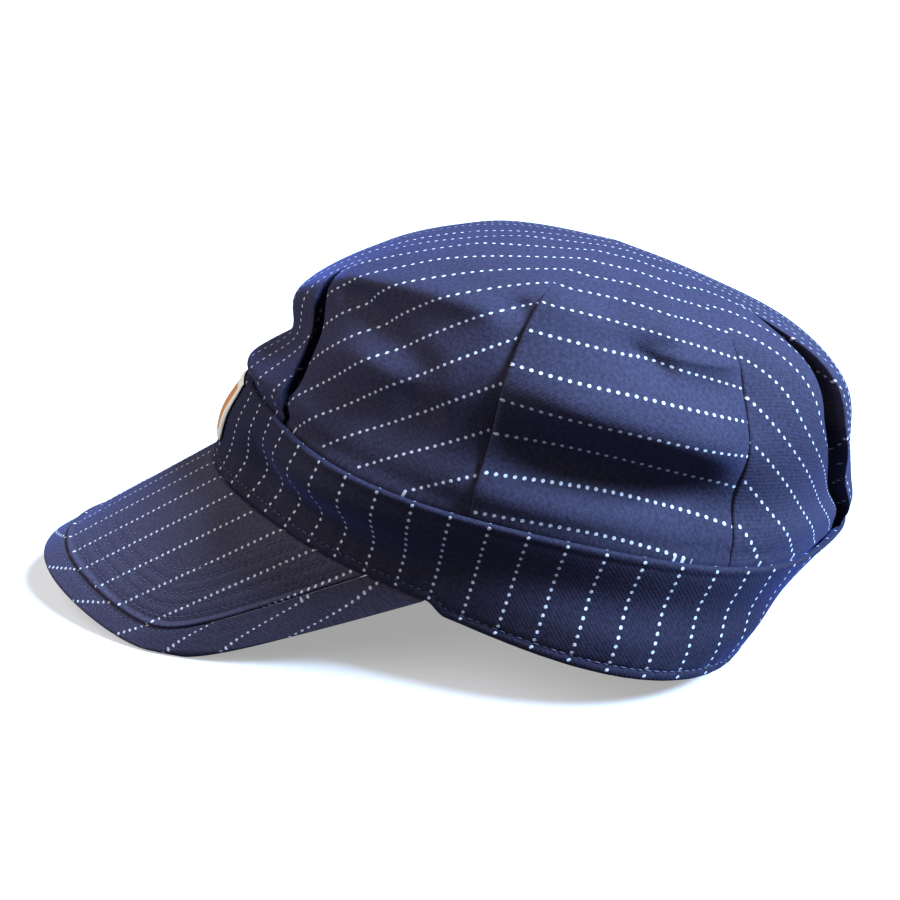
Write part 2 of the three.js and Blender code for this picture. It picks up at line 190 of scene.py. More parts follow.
SEAM = Oval(97, 84.9, 0, ((3, 0.09), (5, -0.012), (6, 0.018)))
RIM = Oval(104.8, 86.3, 8.7, ((3, -0.007), (4, 0.005), (5, -0.002), (6, 0.019)))


@dataclass(frozen=True)
class Dent:
    """Soft dent of the cloth. Place and half sizes are in the surface's own two measures."""

    side: int
    across: float
    up: float
    half_across: float
    half_up: float
    inward: float

    def relief(self, across: np.ndarray, up: np.ndarray) -> np.ndarray:
        """How far in the dent moves places of the surface."""
        beside = bell(across - self.across, self.half_across)
        return self.inward * beside * bell(up - self.up, self.half_up)


class CreaseLine(Enum):
    """Whether a crease is nearly sharp along its line, or rolls softly."""

    SHARP = "sharp"
    ROLLED = "rolled"


@dataclass(frozen=True)
class Crease:
    """Valley, or ridge where depth is negative, along a line between two places."""

    side: int
    start: tuple[float, float]
    end: tuple[float, float]
    half_width: float
    depth: float
    line: CreaseLine = CreaseLine.SHARP

    def relief(self, arcs: np.ndarray, levels: np.ndarray) -> np.ndarray:
        """How far in the crease moves places of the crown.

        Args:
            arcs: Arcs along the rim.
            levels: Levels from the band to the middle of the top, taken as LEVELS_RUN long.

        Returns:
            Millimetres inwards, fading out past both ends of the line.
        """
        to_mm = np.array([1.0, LEVELS_RUN])
        start, end = np.array(self.start) * to_mm, np.array(self.end) * to_mm
        line = end - start
        length = float(np.linalg.norm(line))
        x, y = arcs - start[0], levels * LEVELS_RUN - start[1]
        along = (x * line[0] + y * line[1]) / length
        beside = (x * line[1] - y * line[0]) / length
        fade = 0.25 * length
        ends = smooth(along, -fade, fade) * (1 - smooth(along, length - fade, length + fade))
        section = fold_line if self.line is CreaseLine.SHARP else bell
        return self.depth * section(beside, self.half_width) * ends


def placed(name: str, data: bpy.types.ID) -> Object:
    """Object of that data, linked to the scene.

    Args:
        name: The object's name.
        data: Its mesh, lamp or camera.

    Returns:
        The object.
    """
    made = bpy.data.objects.new(name, data)
    bpy.context.scene.collection.objects.link(made)
    return made


def piece_of(
    name: str, points: np.ndarray, faces: list, corner_uv: np.ndarray, finish: Material
) -> Object:
    """Makes a smooth piece of cloth in the row's frame, closed, with its faces outwards.

    Args:
        name: The piece's name.
        points: Millimetres in the cap's frame, one row a vertex.
        faces: Vertex numbers of each face.
        corner_uv: Flat cloth coordinates in millimetres, one row a face corner.
        finish: The cloth's material.

    Returns:
        The object, linked to the scene.
    """
    mesh = bpy.data.meshes.new(name)
    mesh.from_pydata(POSE.to_row(points).tolist(), [], faces)
    flat = mesh.uv_layers.new(name=FLAT_MAP)
    flat.data.foreach_set("uv", np.asarray(corner_uv, np.float32).ravel())
    mesh.polygons.foreach_set("use_smooth", [True] * len(mesh.polygons))
    mesh.materials.append(finish)
    shell = bmesh.new()
    shell.from_mesh(mesh)
    bmesh.ops.remove_doubles(shell, verts=shell.verts, dist=SAME_PLACE)
    bmesh.ops.recalc_face_normals(shell, faces=shell.faces)
    shell.to_mesh(mesh)
    shell.free()
    return placed(name, mesh)


def settle(made: Object, stands_for: str | None = None) -> Object:
    """Says what a finished piece rides on, which CAD node it replaces.

    Args:
        made: The piece.
        stands_for: The CAD node, or None for stitches, which have none.

    Returns:
        The same piece.
    """
    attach(made, "root")
    if stands_for:
        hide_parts(stands_for)
    log.info("%s: %d faces", made.name, len(made.data.polygons))
    return made


def sheet_faces(columns: int, rows: int, ring: bool = True, closed_rows: bool = True) -> np.ndarray:
    """Quads of a grid whose vertices are listed column by column.

    Args:
        columns: How many columns.
        rows: How many vertices a column has.
        ring: Whether the last column joins the first.
        closed_rows: Whether the last row joins the first.

    Returns:
        Column and row of each quad's four corners, shaped (quads, 4, 2), not yet wrapped.
    """
    last_column = columns if ring else columns - 1
    last_row = rows if closed_rows else rows - 1
    column, row = np.meshgrid(np.arange(last_column), np.arange(last_row), indexing="ij")
    corners = [(0, 0), (1, 0), (1, 1), (0, 1)]
    quads = [np.stack([column + dc, row + dr], -1).reshape(-1, 2) for dc, dr in corners]
    return np.stack(quads, 1)


def closed_sheet(name: str, loop: np.ndarray, flat: np.ndarray, finish: Material) -> Object:
    """Makes a piece of columns that each go round it, with an end face at each side.

    Args:
        name: The piece's name.
        loop: Points, shaped (columns, rows, 3).
        flat: Flat cloth coordinates of the points.
        finish: The cloth's material.

    Returns:
        The object, linked to the scene.
    """
    columns, rows = loop.shape[:2]
    quads = sheet_faces(columns, rows, ring=False)
    column_of, row_of = quads[..., 0], quads[..., 1] % rows
    numbers = column_of * rows + row_of
    ends = [list(range(rows)), list(range(columns * rows - 1, (columns - 1) * rows - 1, -1))]
    uv = np.concatenate([flat[column_of, row_of].reshape(-1, 2), flat[0], flat[-1][::-1]])
    return piece_of(name, loop.reshape(-1, 3), numbers.tolist() + ends, uv, finish)


def node(tree: NodeTree, kind: str, inputs: dict | tuple = (), **settings: object) -> Node:
    """Adds a node with its settings and links.

    Args:
        tree: The node tree.
        kind: Blender's name of the node's class.
        inputs: Values in order, or by the socket's name or number. An output socket, or a node
            for its first output, is linked.
        settings: The node's own properties.

    Returns:
        The node.
    """
    made = tree.nodes.new(kind)
    for name, value in settings.items():
        setattr(made, name, value)
    for key, value in inputs.items() if isinstance(inputs, dict) else enumerate(inputs):
        source = value.outputs[0] if isinstance(value, Node) else value
        if isinstance(source, NodeSocket):
            tree.links.new(source, made.inputs[key])
        else:
            made.inputs[key].default_value = source
    return made


def new_material(name: str) -> tuple[Material, NodeTree]:
    """Empty node material with that name, and its tree.

    Args:
        name: The material's name.

    Returns:
        The material, and its tree.
    """
    material = bpy.data.materials.new(name)
    material.use_nodes = True
    material.node_tree.nodes.clear()
    return material, material.node_tree


@dataclass(frozen=True)
class Finish:
    """A finish of the cap, whose pattern follows the piece that it is on."""

    name: str

    def material(self) -> Material:
        """Builds the finish's material, a Principled surface.

        Returns:
            The material.
        """
        material, tree = new_material(self.name)
        surface = node(tree, "ShaderNodeBsdfPrincipled", self.surface(tree))
        node(tree, "ShaderNodeOutputMaterial", {"Surface": surface})
        return material

    def surface(self, tree: NodeTree) -> dict:
        """Adds the pattern's nodes, and gives the Principled shader's inputs."""
        raise NotImplementedError


@dataclass(frozen=True)
class PinstripeTwill(Finish):
    """Cotton work twill, piece-dyed navy, with pinstripes woven as rows of white dots.

    It gives the eye a matt deep blue that turns violet-black in shade, fine diagonal ribs and
    small raised white dots, a little uneven, 2.4 mm apart. A tone is how far a pattern moves the
    cloth's colour, and a relief how far it raises the face, in millimetres.
    """

    phase: float = 0.0
    cloth: str = "#433f53"
    cloth_deep: str = "#2c2936"
    thread_white: str = "#c4c3c4"
    nap: float = 0.15
    nap_tint: str = "#8a9cff"
    dot_half_length: float = 0.58
    dot_half_width: float = 0.53
    dot_edge: tuple[float, float] = (0.78, 1.08)
    dot_uneven: float = 0.5
    dot_relief: float = 0.22
    rib_pitch: float = 0.95
    rib_wobble: float = 3.0
    weft_share: float = 0.2
    weft_turns: float = 0.8
    weave_tone: float = 0.07
    weave_relief: float = 0.02
    slub_tone: float = 2.2
    slub_relief: float = 0.12
    mottle_tone: float = 0.5
    middle_tone: float = 0.52

    def surface(self, tree: NodeTree) -> dict:
        """Draws the weave, slubs and dots in the piece's own flat cloth coordinates.

        Args:
            tree: The material's tree.

        Returns:
            The shader's inputs.
        """
        flat = node(tree, "ShaderNodeUVMap", uv_map=FLAT_MAP)
        across, along, _ = node(tree, "ShaderNodeSeparateXYZ", (flat,)).outputs
        slub = node(tree, NOISE, {"Vector": flat, "Scale": 0.9, "Detail": 3.0, "Roughness": 0.6})
        mottle = node(tree, NOISE, {"Vector": flat, "Scale": 0.045, "Detail": 3.0})
        weave = self.weave(tree, across, along, slub)
        levels = (weave, self.weave_tone, self.middle_tone)
        tone = node(tree, MATHS, levels, operation="MULTIPLY_ADD")
        for noise, share in ((slub, self.slub_tone), (mottle, self.mottle_tone)):
            centred = node(tree, MATHS, (noise, 0.5), operation="SUBTRACT")
            tone = node(tree, MATHS, (centred, share, tone), operation="MULTIPLY_ADD")
        tone.use_clamp = True
        dot = self.dots(tree, across, along, slub)
        colour = linear(self.cloth_deep)
        for share, other in ((tone, self.cloth), (dot, self.thread_white)):
            both = {0: share, 6: colour, 7: linear(other)}
            colour = node(tree, "ShaderNodeMix", both, data_type="RGBA").outputs[2]
        height = node(tree, MATHS, (slub, self.slub_relief), operation="MULTIPLY")
        for pattern, relief in ((weave, self.weave_relief), (dot, self.dot_relief)):
            height = node(tree, MATHS, (pattern, relief, height), operation="MULTIPLY_ADD")
        relief = {"Strength": 1.0, "Distance": METRES, "Height": height}
        return {
            "Base Color": colour,
            "Roughness": 0.85,
            "Specular IOR Level": 0.2,
            "Sheen Weight": self.nap,
            "Sheen Roughness": 0.4,
            "Sheen Tint": linear(self.nap_tint),
            "Normal": node(tree, "ShaderNodeBump", relief),
        }

    def weave(
        self,
        tree: NodeTree,
        across: NodeSocket,
        along: NodeSocket,
        slub: Node,
    ) -> Node:
        """Twill ribs with a little of the weft that crosses them.

        Args:
            tree: The material's tree.
            across: Flat coordinate across the stripes.
            along: Flat coordinate along them.
            slub: Noise that makes the ribs wander.

        Returns:
            Height from -1 to 1.
        """
        turn = 2 * math.pi / (self.rib_pitch * math.sqrt(2))
        wobble = node(tree, MATHS, (slub, self.rib_wobble), operation="MULTIPLY")
        rib = (("ADD", along), ("MULTIPLY", turn), ("ADD", wobble), ("SINE",))
        weft = (("SUBTRACT", along), ("MULTIPLY", turn * self.weft_turns), ("SINE",))
        threads = []
        for path, share in ((rib, 1 - self.weft_share), (weft, self.weft_share)):
            height = across
            for operation, *others in (*path, ("MULTIPLY", share)):
                height = node(tree, MATHS, (height, *others), operation=operation)
            threads.append(height)
        return node(tree, MATHS, tuple(threads), operation="ADD")

    def dots(
        self,
        tree: NodeTree,
        across: NodeSocket,
        along: NodeSocket,
        slub: Node,
    ) -> Node:
        """Mask of the pinstripes' dots, from their distance to the nearest stripe and dot.

        Args:
            tree: The material's tree.
            across: Flat coordinate across the stripes.
            along: Flat coordinate along them.
            slub: Noise that makes the dots a little uneven.

        Returns:
            1 on a dot and 0 between them.
        """
        squares = []
        for place, spacing, phase, half in (
            (across, STRIPE_SPACING, self.phase, self.dot_half_width),
            (along, DOT_SPACING, 0.0, self.dot_half_length),
        ):
            turns = ("MULTIPLY_ADD", 1 / spacing, 0.5 - phase / spacing)
            away = (turns, ("FRACT",), ("SUBTRACT", 0.5), ("MULTIPLY", spacing), ("DIVIDE", half))
            for operation, *others in away:
                place = node(tree, MATHS, (place, *others), operation=operation)
            squares.append(node(tree, MATHS, (place, place), operation="MULTIPLY"))
        total = node(tree, MATHS, tuple(squares), operation="ADD")
        radius = node(tree, MATHS, (total,), operation="SQRT")
        shrunk = node(tree, MATHS, (radius, self.dot_uneven / 2), operation="SUBTRACT")
        uneven = node(tree, MATHS, (slub, self.dot_uneven, shrunk), operation="MULTIPLY_ADD")
        inner, outer = self.dot_edge
        edge = {"Value": uneven, "From Min": inner, "From Max": outer, "To Min": 1.0, "To Max": 0.0}
        return node(tree, "ShaderNodeMapRange", edge)


@dataclass(frozen=True)
class SewingThread(Finish):
    """Spun polyester sewing thread. It gives the eye short shiny dashes a shade off the cloth; its
    shine colour, flecked in by noise, is a painted highlight.
    """

    thread: str = "#2f2f45"
    shine: str = "#4a4a63"

    def surface(self, tree: NodeTree) -> dict:
        """Draws the thread's twist as fine noise, which also mixes in the painted highlight.

        Args:
            tree: The material's tree.

        Returns:
            The shader's inputs.
        """
        place = node(tree, "ShaderNodeTexCoord").outputs["Object"]
        twist = node(tree, NOISE, {"Vector": place, "Scale": 2200.0, "Detail": 1.0})
        # painted highlight: shine is a lighter colour that the twist noise flecks into the thread's
        # own
        both = {0: twist, 6: linear(self.thread), 7: linear(self.shine)}
        colour = node(tree, "ShaderNodeMix", both, data_type="RGBA").outputs[2]
        relief = {"Strength": 0.5, "Distance": METRES / 10, "Height": twist}
        bump = node(tree, "ShaderNodeBump", relief)
        return {"Base Color": colour, "Roughness": 0.6, "Sheen Weight": 0.2, "Normal": bump}


@dataclass(frozen=True)
class LabelWeave(Finish):
    """Woven damask label, bare. It gives the eye a smooth satin tan field with a cream edge."""

    width: float
    height: float
    field: str = "#dd9a4d"
    field_deep: str = "#c9853a"
    edge: str = "#f1e8d6"
    edge_width: float = 3.0
    pick_pitch: float = 0.6
    warp_pitch: float = 0.7
    relief: float = 0.03

    def surface(self, tree: NodeTree) -> dict:
        """Draws the field, its edge and the threads from the label's flat coordinates.

        Args:
            tree: The material's tree.

        Returns:
            The shader's inputs.
        """
        flat = node(tree, "ShaderNodeUVMap", uv_map=FLAT_MAP)
        across, down, _ = node(tree, "ShaderNodeSeparateXYZ", (flat,)).outputs
        beside = node(tree, MATHS, (across,), operation="ABSOLUTE")
        from_side = node(tree, MATHS, (self.width / 2, beside), operation="SUBTRACT")
        centred = node(tree, MATHS, (down, self.height / 2), operation="SUBTRACT")
        beyond = node(tree, MATHS, (centred,), operation="ABSOLUTE")
        from_end = node(tree, MATHS, (self.height / 2, beyond), operation="SUBTRACT")
        from_edge = node(tree, MATHS, (from_side, from_end), operation="MINIMUM")
        border = node(tree, MATHS, (from_edge, self.edge_width), operation="LESS_THAN")
        slub = node(tree, NOISE, {"Vector": flat, "Scale": 1.6, "Detail": 2.0})
        colour = linear(self.field_deep)
        for share, other in ((slub, self.field), (border, self.edge)):
            both = {0: share, 6: colour, 7: linear(other)}
            colour = node(tree, "ShaderNodeMix", both, data_type="RGBA").outputs[2]
        threads = []
        for place, pitch in ((down, self.pick_pitch), (across, self.warp_pitch)):
            turns = node(tree, MATHS, (place, 2 * math.pi / pitch), operation="MULTIPLY")
            threads.append(node(tree, MATHS, (turns,), operation="SINE"))
        weave = node(tree, MATHS, tuple(threads), operation="ADD")
        height = node(tree, MATHS, (weave, self.relief), operation="MULTIPLY")
        relief = {"Strength": 1.0, "Distance": METRES, "Height": height}
        bump = node(tree, "ShaderNodeBump", relief)
        return {"Base Color": colour, "Roughness": 0.62, "Sheen Weight": 0.1, "Normal": bump}


@dataclass(frozen=True)
class StitchRun:
    """A run of stitches along a line, made by Geometry Nodes from one small padded stitch."""

    name: str
    lines: tuple[np.ndarray, ...]
    slot: str
    pitch: float = 2.4
    length: float = 1.7
    thread: float = 0.42
    seed: int = 7

    def build(self, finish: Material) -> Object:
        """Lays the stitches and turns them into a plain mesh.

        Args:
            finish: The thread's material.

        Returns:
            The finished piece.
        """
        points, edges = [], []
        for line in self.lines:
            start = len(points)
            points.extend(line.tolist())
            edges.extend((start + at, start + at + 1) for at in range(len(line) - 1))
        guide_mesh = bpy.data.meshes.new(self.name + "_guide")
        guide_mesh.from_pydata(POSE.to_row(np.array(points)).tolist(), edges, [])
        guide = placed(guide_mesh.name, guide_mesh)
        tree, sockets = self.tree(finish)
        modifier = guide.modifiers.new("stitches", "NODES")
        modifier.node_group = tree
        sizes = {"Pitch": self.pitch, "Stitch Length": self.length, "Thread Width": self.thread}
        for name, size in sizes.items():
            modifier[sockets[name]] = size * METRES
        modifier[sockets["Seed"]] = self.seed
        bpy.context.view_layer.update()
        evaluated = guide.evaluated_get(bpy.context.evaluated_depsgraph_get())
        mesh = bpy.data.meshes.new_from_object(evaluated)
        guide.modifiers.clear()
        bpy.data.objects.remove(guide)
        mesh.name = self.name
        mesh.polygons.foreach_set("use_smooth", [True] * len(mesh.polygons))
        return settle(placed(self.name, mesh))

    def tree(self, finish: Material) -> tuple[NodeTree, dict[str, str]]:
        """Builds the node tree.

        Args:
            finish: The thread's material.

        Returns:
            The tree, and the identifier of each named input.
        """
        tree = bpy.data.node_groups.new(self.name + "_tree", "GeometryNodeTree")
        sizes = dict.fromkeys(("Pitch", "Stitch Length", "Thread Width"), "NodeSocketFloat")
        kinds = {"Geometry": "NodeSocketGeometry", **sizes, "Seed": "NodeSocketInt"}
        sockets = {}
        for name, kind in kinds.items():
            socket = tree.interface.new_socket(name, in_out="INPUT", socket_type=kind)
            sockets[name] = socket.identifier
        tree.interface.new_socket("Geometry", in_out="OUTPUT", socket_type=kinds["Geometry"])
        given = node(tree, "NodeGroupInput")
        lines, pitch, length, width, seed = (given.outputs[name] for name in kinds)
        curve = node(tree, "GeometryNodeMeshToCurve", {"Mesh": lines})
        spaced = {"Curve": curve, "Length": pitch}
        even = node(tree, "GeometryNodeResampleCurve", spaced, mode="LENGTH")
        tangent = node(tree, "GeometryNodeInputTangent")
        turn = node(tree, "FunctionNodeAlignRotationToVector", {"Vector": tangent}, axis="X")
        ball = node(tree, "GeometryNodeMeshUVSphere", {"Segments": 8, "Rings": 6, "Radius": 0.5})
        size = node(tree, "ShaderNodeCombineXYZ", (length, width, width))
        stitch = node(tree, "GeometryNodeTransform", {"Geometry": ball, "Scale": size})
        limits = {"Min": (0.85, 0.85, 0.85), "Max": (1.12, 1.12, 1.12), "Seed": seed}
        uneven = node(tree, "FunctionNodeRandomValue", limits, data_type="FLOAT_VECTOR")
        laying = {"Points": even, "Instance": stitch, "Rotation": turn, "Scale": uneven}
        laid = node(tree, "GeometryNodeInstanceOnPoints", laying)
        real = node(tree, "GeometryNodeRealizeInstances", {"Geometry": laid})
        dressed = node(tree, "GeometryNodeSetMaterial", {"Geometry": real, "Material": finish})
        node(tree, "NodeGroupOutput", {"Geometry": dressed})
        return tree, sockets


@dataclass(frozen=True)
class Band:
    """The folded band: free lower edge with its topstitch, and a rolled top rim.

    A row of hem, rim_roll or turned_in is a height and how far in the cloth is there. The lower
    edge drops past the peak's corners, and a fine pucker runs along its topstitch.
    """

    height: float = 31.5
    wall: float = 2.0
    columns: int = 560
    drop_at_corner: float = 3.0
    drop_at_back: float = 1.2
    drop_ramp: float = 7.0
    stripe_phase: float = 5.85
    pucker: float = 0.16
    pucker_turns: tuple[float, float, float] = (0.93, 2.2, 0.21)
    pucker_level: float = 4.5
    pucker_reach: float = 3.5
    topstitch: float = 3.1
    stitch_sunk: float = 0.05
    hem: tuple[tuple[float, float], ...] = (
        (0.1, 0.75), (0.0, 0.4), (0.25, 0.05), (0.9, -0.3), (1.7, -0.38), (2.5, -0.22),
        (2.9, 0.1), (3.1, 0.22), (3.4, 0.08), (4.2, -0.12), (5.4, -0.05), (6.8, 0.0),
    )
    rim_roll: tuple[tuple[float, float], ...] = (
        (27.6, 0.0), (28.3, 0.05), (28.8, 0.1), (29.3, 0.02), (29.9, -0.12), (30.5, -0.15),
        (30.95, -0.02), (31.25, 0.22), (31.42, 0.55), (31.5, 1.0), (31.4, 1.45), (31.1, 1.8),
    )
    turned_in: tuple[tuple[float, float], ...] = ((1.2, 2.0), (0.4, 1.5))
    outside_shares: tuple[float, float, int] = (0.27, 0.85, 17)
    inside_shares: tuple[float, float, int] = (0.94, 0.1, 12)
    dents: tuple[Dent, ...] = (
        Dent(1, 48, 22.5, 22, 6, -3.4),
        Dent(1, 46, 10, 24, 6, 4.0),
        Dent(1, 30, 14, 7, 12, 2.2),
        Dent(1, 0, 16, 14, 10, -2.8),
        Dent(1, 82, 17, 26, 8, 1.7),
        Dent(1, 112, 18, 22, 8, 1.5),
        Dent(1, 104, 7, 8, 5, -0.9),
        Dent(1, 128, 9, 14, 6, -1.0),
        Dent(-1, 60, 12, 20, 8, 1.6),
        Dent(-1, 118, 19, 24, 8, -1.4),
    )

    def point(self, angle: np.ndarray, height: np.ndarray, inset: np.ndarray) -> np.ndarray:
        """Points of the wall.

        Args:
            angle: Radians round from the front.
            height: Millimetres over the seam plane.
            inset: Millimetres in from the outer face.

        Returns:
            Points in the cap's frame.
        """
        values = (np.asarray(value, float) for value in (angle, height, inset))
        angle, height, inset = np.broadcast_arrays(*values)
        share = (height / self.height)[..., None]

        def middle(at: np.ndarray) -> np.ndarray:
            """Point between the two ovals at the height's share."""
            return SEAM.point(at) * (1 - share) + RIM.point(at) * share

        along = unit(middle(angle + 0.01) - middle(angle - 0.01))
        outward = np.stack([along[..., 1], -along[..., 0]], -1)
        out = -inset.copy()
        for dent in self.dents:
            out -= dent.relief(np.degrees(angle) * dent.side, height)
        flat = middle(angle) + outward * out[..., None]
        return np.concatenate([flat, height[..., None]], -1)

    def foot(self, angle: np.ndarray) -> np.ndarray:
        """Height of the free lower edge at angles from the front.

        Args:
            angle: Radians round from the front.

        Returns:
            Millimetres over the seam plane.
        """
        arc = np.abs(SEAM.arc_at(angle))
        share = np.clip((arc - PEAK_CORNER) / (SEAM.half_girth() - PEAK_CORNER), 0, None)
        drop = self.drop_at_corner + (self.drop_at_back - self.drop_at_corner) * share
        return -smooth(arc, PEAK_CORNER, PEAK_CORNER + self.drop_ramp) * drop

    def profile(self) -> np.ndarray:
        """Section of the wall, from the lower edge up the outside and down the inside.

        Returns:
            Rows of share of the height, millimetres above that share, and inset.
        """
        rows = [(0, up, inset) for up, inset in self.hem]
        rows += [(share, 0, 0) for share in np.linspace(*self.outside_shares)]
        rows += [(1, up - self.height, inset) for up, inset in self.rim_roll]
        rows += [(share, 0, self.wall) for share in np.linspace(*self.inside_shares)]
        return np.array(rows + [(0, up, inset) for up, inset in self.turned_in])

    def build(self, finish: Material) -> Object:
        """Builds and dresses the band.

        Args:
            finish: The cloth's material.

        Returns:
            The finished piece, which stands for the CAD node.
        """
        angle = SEAM.angle_at(np.linspace(-1, 1, self.columns + 1)[:-1] * SEAM.half_girth())
        share, extra, inset = self.profile().T
        foot = self.foot(angle)[:, None]
        rise = self.height * share + extra
        height = foot * (1 - share) + rise
        arcs, rim_arcs = SEAM.arc_at(angle)[:, None], RIM.arc_at(angle)[:, None]
        turns, sway, sway_turns = self.pucker_turns
        pucker = self.pucker * np.sin(arcs * turns + sway * np.sin(arcs * sway_turns))
        pucker = pucker * bell(height - foot - self.pucker_level, self.pucker_reach)
        points = self.point(angle[:, None], height, inset - pucker * (inset < 1))
        level = np.clip(height / self.height, 0, 1)
        detour = np.cumsum(np.hypot(np.diff(rise), np.diff(inset)) - np.diff(rise))
        across = arcs * (1 - level) + rim_arcs * level
        along = height + np.concatenate([[0], detour])
        back = SEAM.half_girth() * (1 - level[0]) + RIM.half_girth() * level[0]
        flat = np.stack([np.vstack([across, back]), np.vstack([along, along[0]])], -1)
        rows = len(share)
        quads = sheet_faces(self.columns, rows)
        column_of, row_of = quads[..., 0], quads[..., 1] % rows
        numbers = (column_of % self.columns) * rows + row_of
        uv = flat[column_of, row_of].reshape(-1, 2)
        made = piece_of("band_cloth", points.reshape(-1, 3), numbers.tolist(), uv, finish)
        return settle(made, "band")

    def edge_line(self) -> np.ndarray:
        """Line of the topstitch round the lower edge.

        Returns:
            Points in the cap's frame.
        """
        arcs = np.linspace(-1, 1, 900) * (SEAM.half_girth() - 1)
        angle = SEAM.angle_at(arcs)
        return self.point(angle, self.foot(angle) + self.topstitch, self.stitch_sunk)


BAND = Band()


@dataclass(frozen=True)
class Meridian:
    """Shoulder of the crown at an arc of the rim, and how far the wall stands out below it."""

    arc: float
    x: float
    y: float
    z: float
    low: float
    high: float

    def row(self, mirrored: bool = False) -> np.ndarray:
        """The shoulder's values, on the left or mirrored to the right."""
        return np.array([-self.x if mirrored else self.x, self.y, self.z, self.low, self.high])


@dataclass(frozen=True)
class Tuck:
    """A fold that takes in the crown's cloth.

    over is 1 where the layer towards the back lies on top and -1 where the front one does. lift
    is how far the top layer's edge stands out and sink how far the lower layer goes in beside
    it, each easing out over its reach. apex is the level where the fold ends, and lap how far
    the lower layer runs under it. The fold's line leans towards the front as it rises: by lean
    in all, at lean_level and above.
    """

    arc: float
    over: int
    lift: float
    reach: float
    sink: float
    sink_reach: float
    apex: float
    lap: float
    lean: float = 0.0
    lean_level: float = 0.4

    @property
    def step(self) -> float:
        """Height of the fold's edge over the lower layer."""
        return self.lift + self.sink

    def folded(self, level: np.ndarray) -> np.ndarray:
        """How much of the fold is there at levels, from 0 to 1."""
        opening = 0.35 + 0.65 * smooth(level, 0, 0.1)
        return (1 - smooth(level, self.apex - 0.14, self.apex + 0.03)) * opening

    def relief(self, arc: np.ndarray, level: np.ndarray) -> np.ndarray:
        """How far the fold lifts the top layer and sinks the lower one.

        Args:
            arc: Arcs along the rim.
            level: Levels from the band to the middle of the top.

        Returns:
            Millimetres outwards.
        """
        along = (arc - self.arc) * self.over
        upper = self.lift * np.exp(-np.maximum(along, 0) / self.reach)
        lower = -self.sink * np.exp(np.minimum(along, 0) / self.sink_reach)
        return self.folded(level) * np.where(along >= 0, upper, lower)


@dataclass(frozen=True)
class FoldPoint:
    """A point of a tuck's section, from the top layer's edge.

    under and down are shares of the tuck's lap and step; along and below are millimetres.
    """

    under: float
    down: float
    along: float = 0.0
    below: float = 0.0


@dataclass(frozen=True)
class Column:
    """A column of the crown: its arc, its panel from the front, and its point of a tuck's fold."""

    arc: float
    panel: int
    tuck: Tuck | None = None
    fold: FoldPoint | None = None


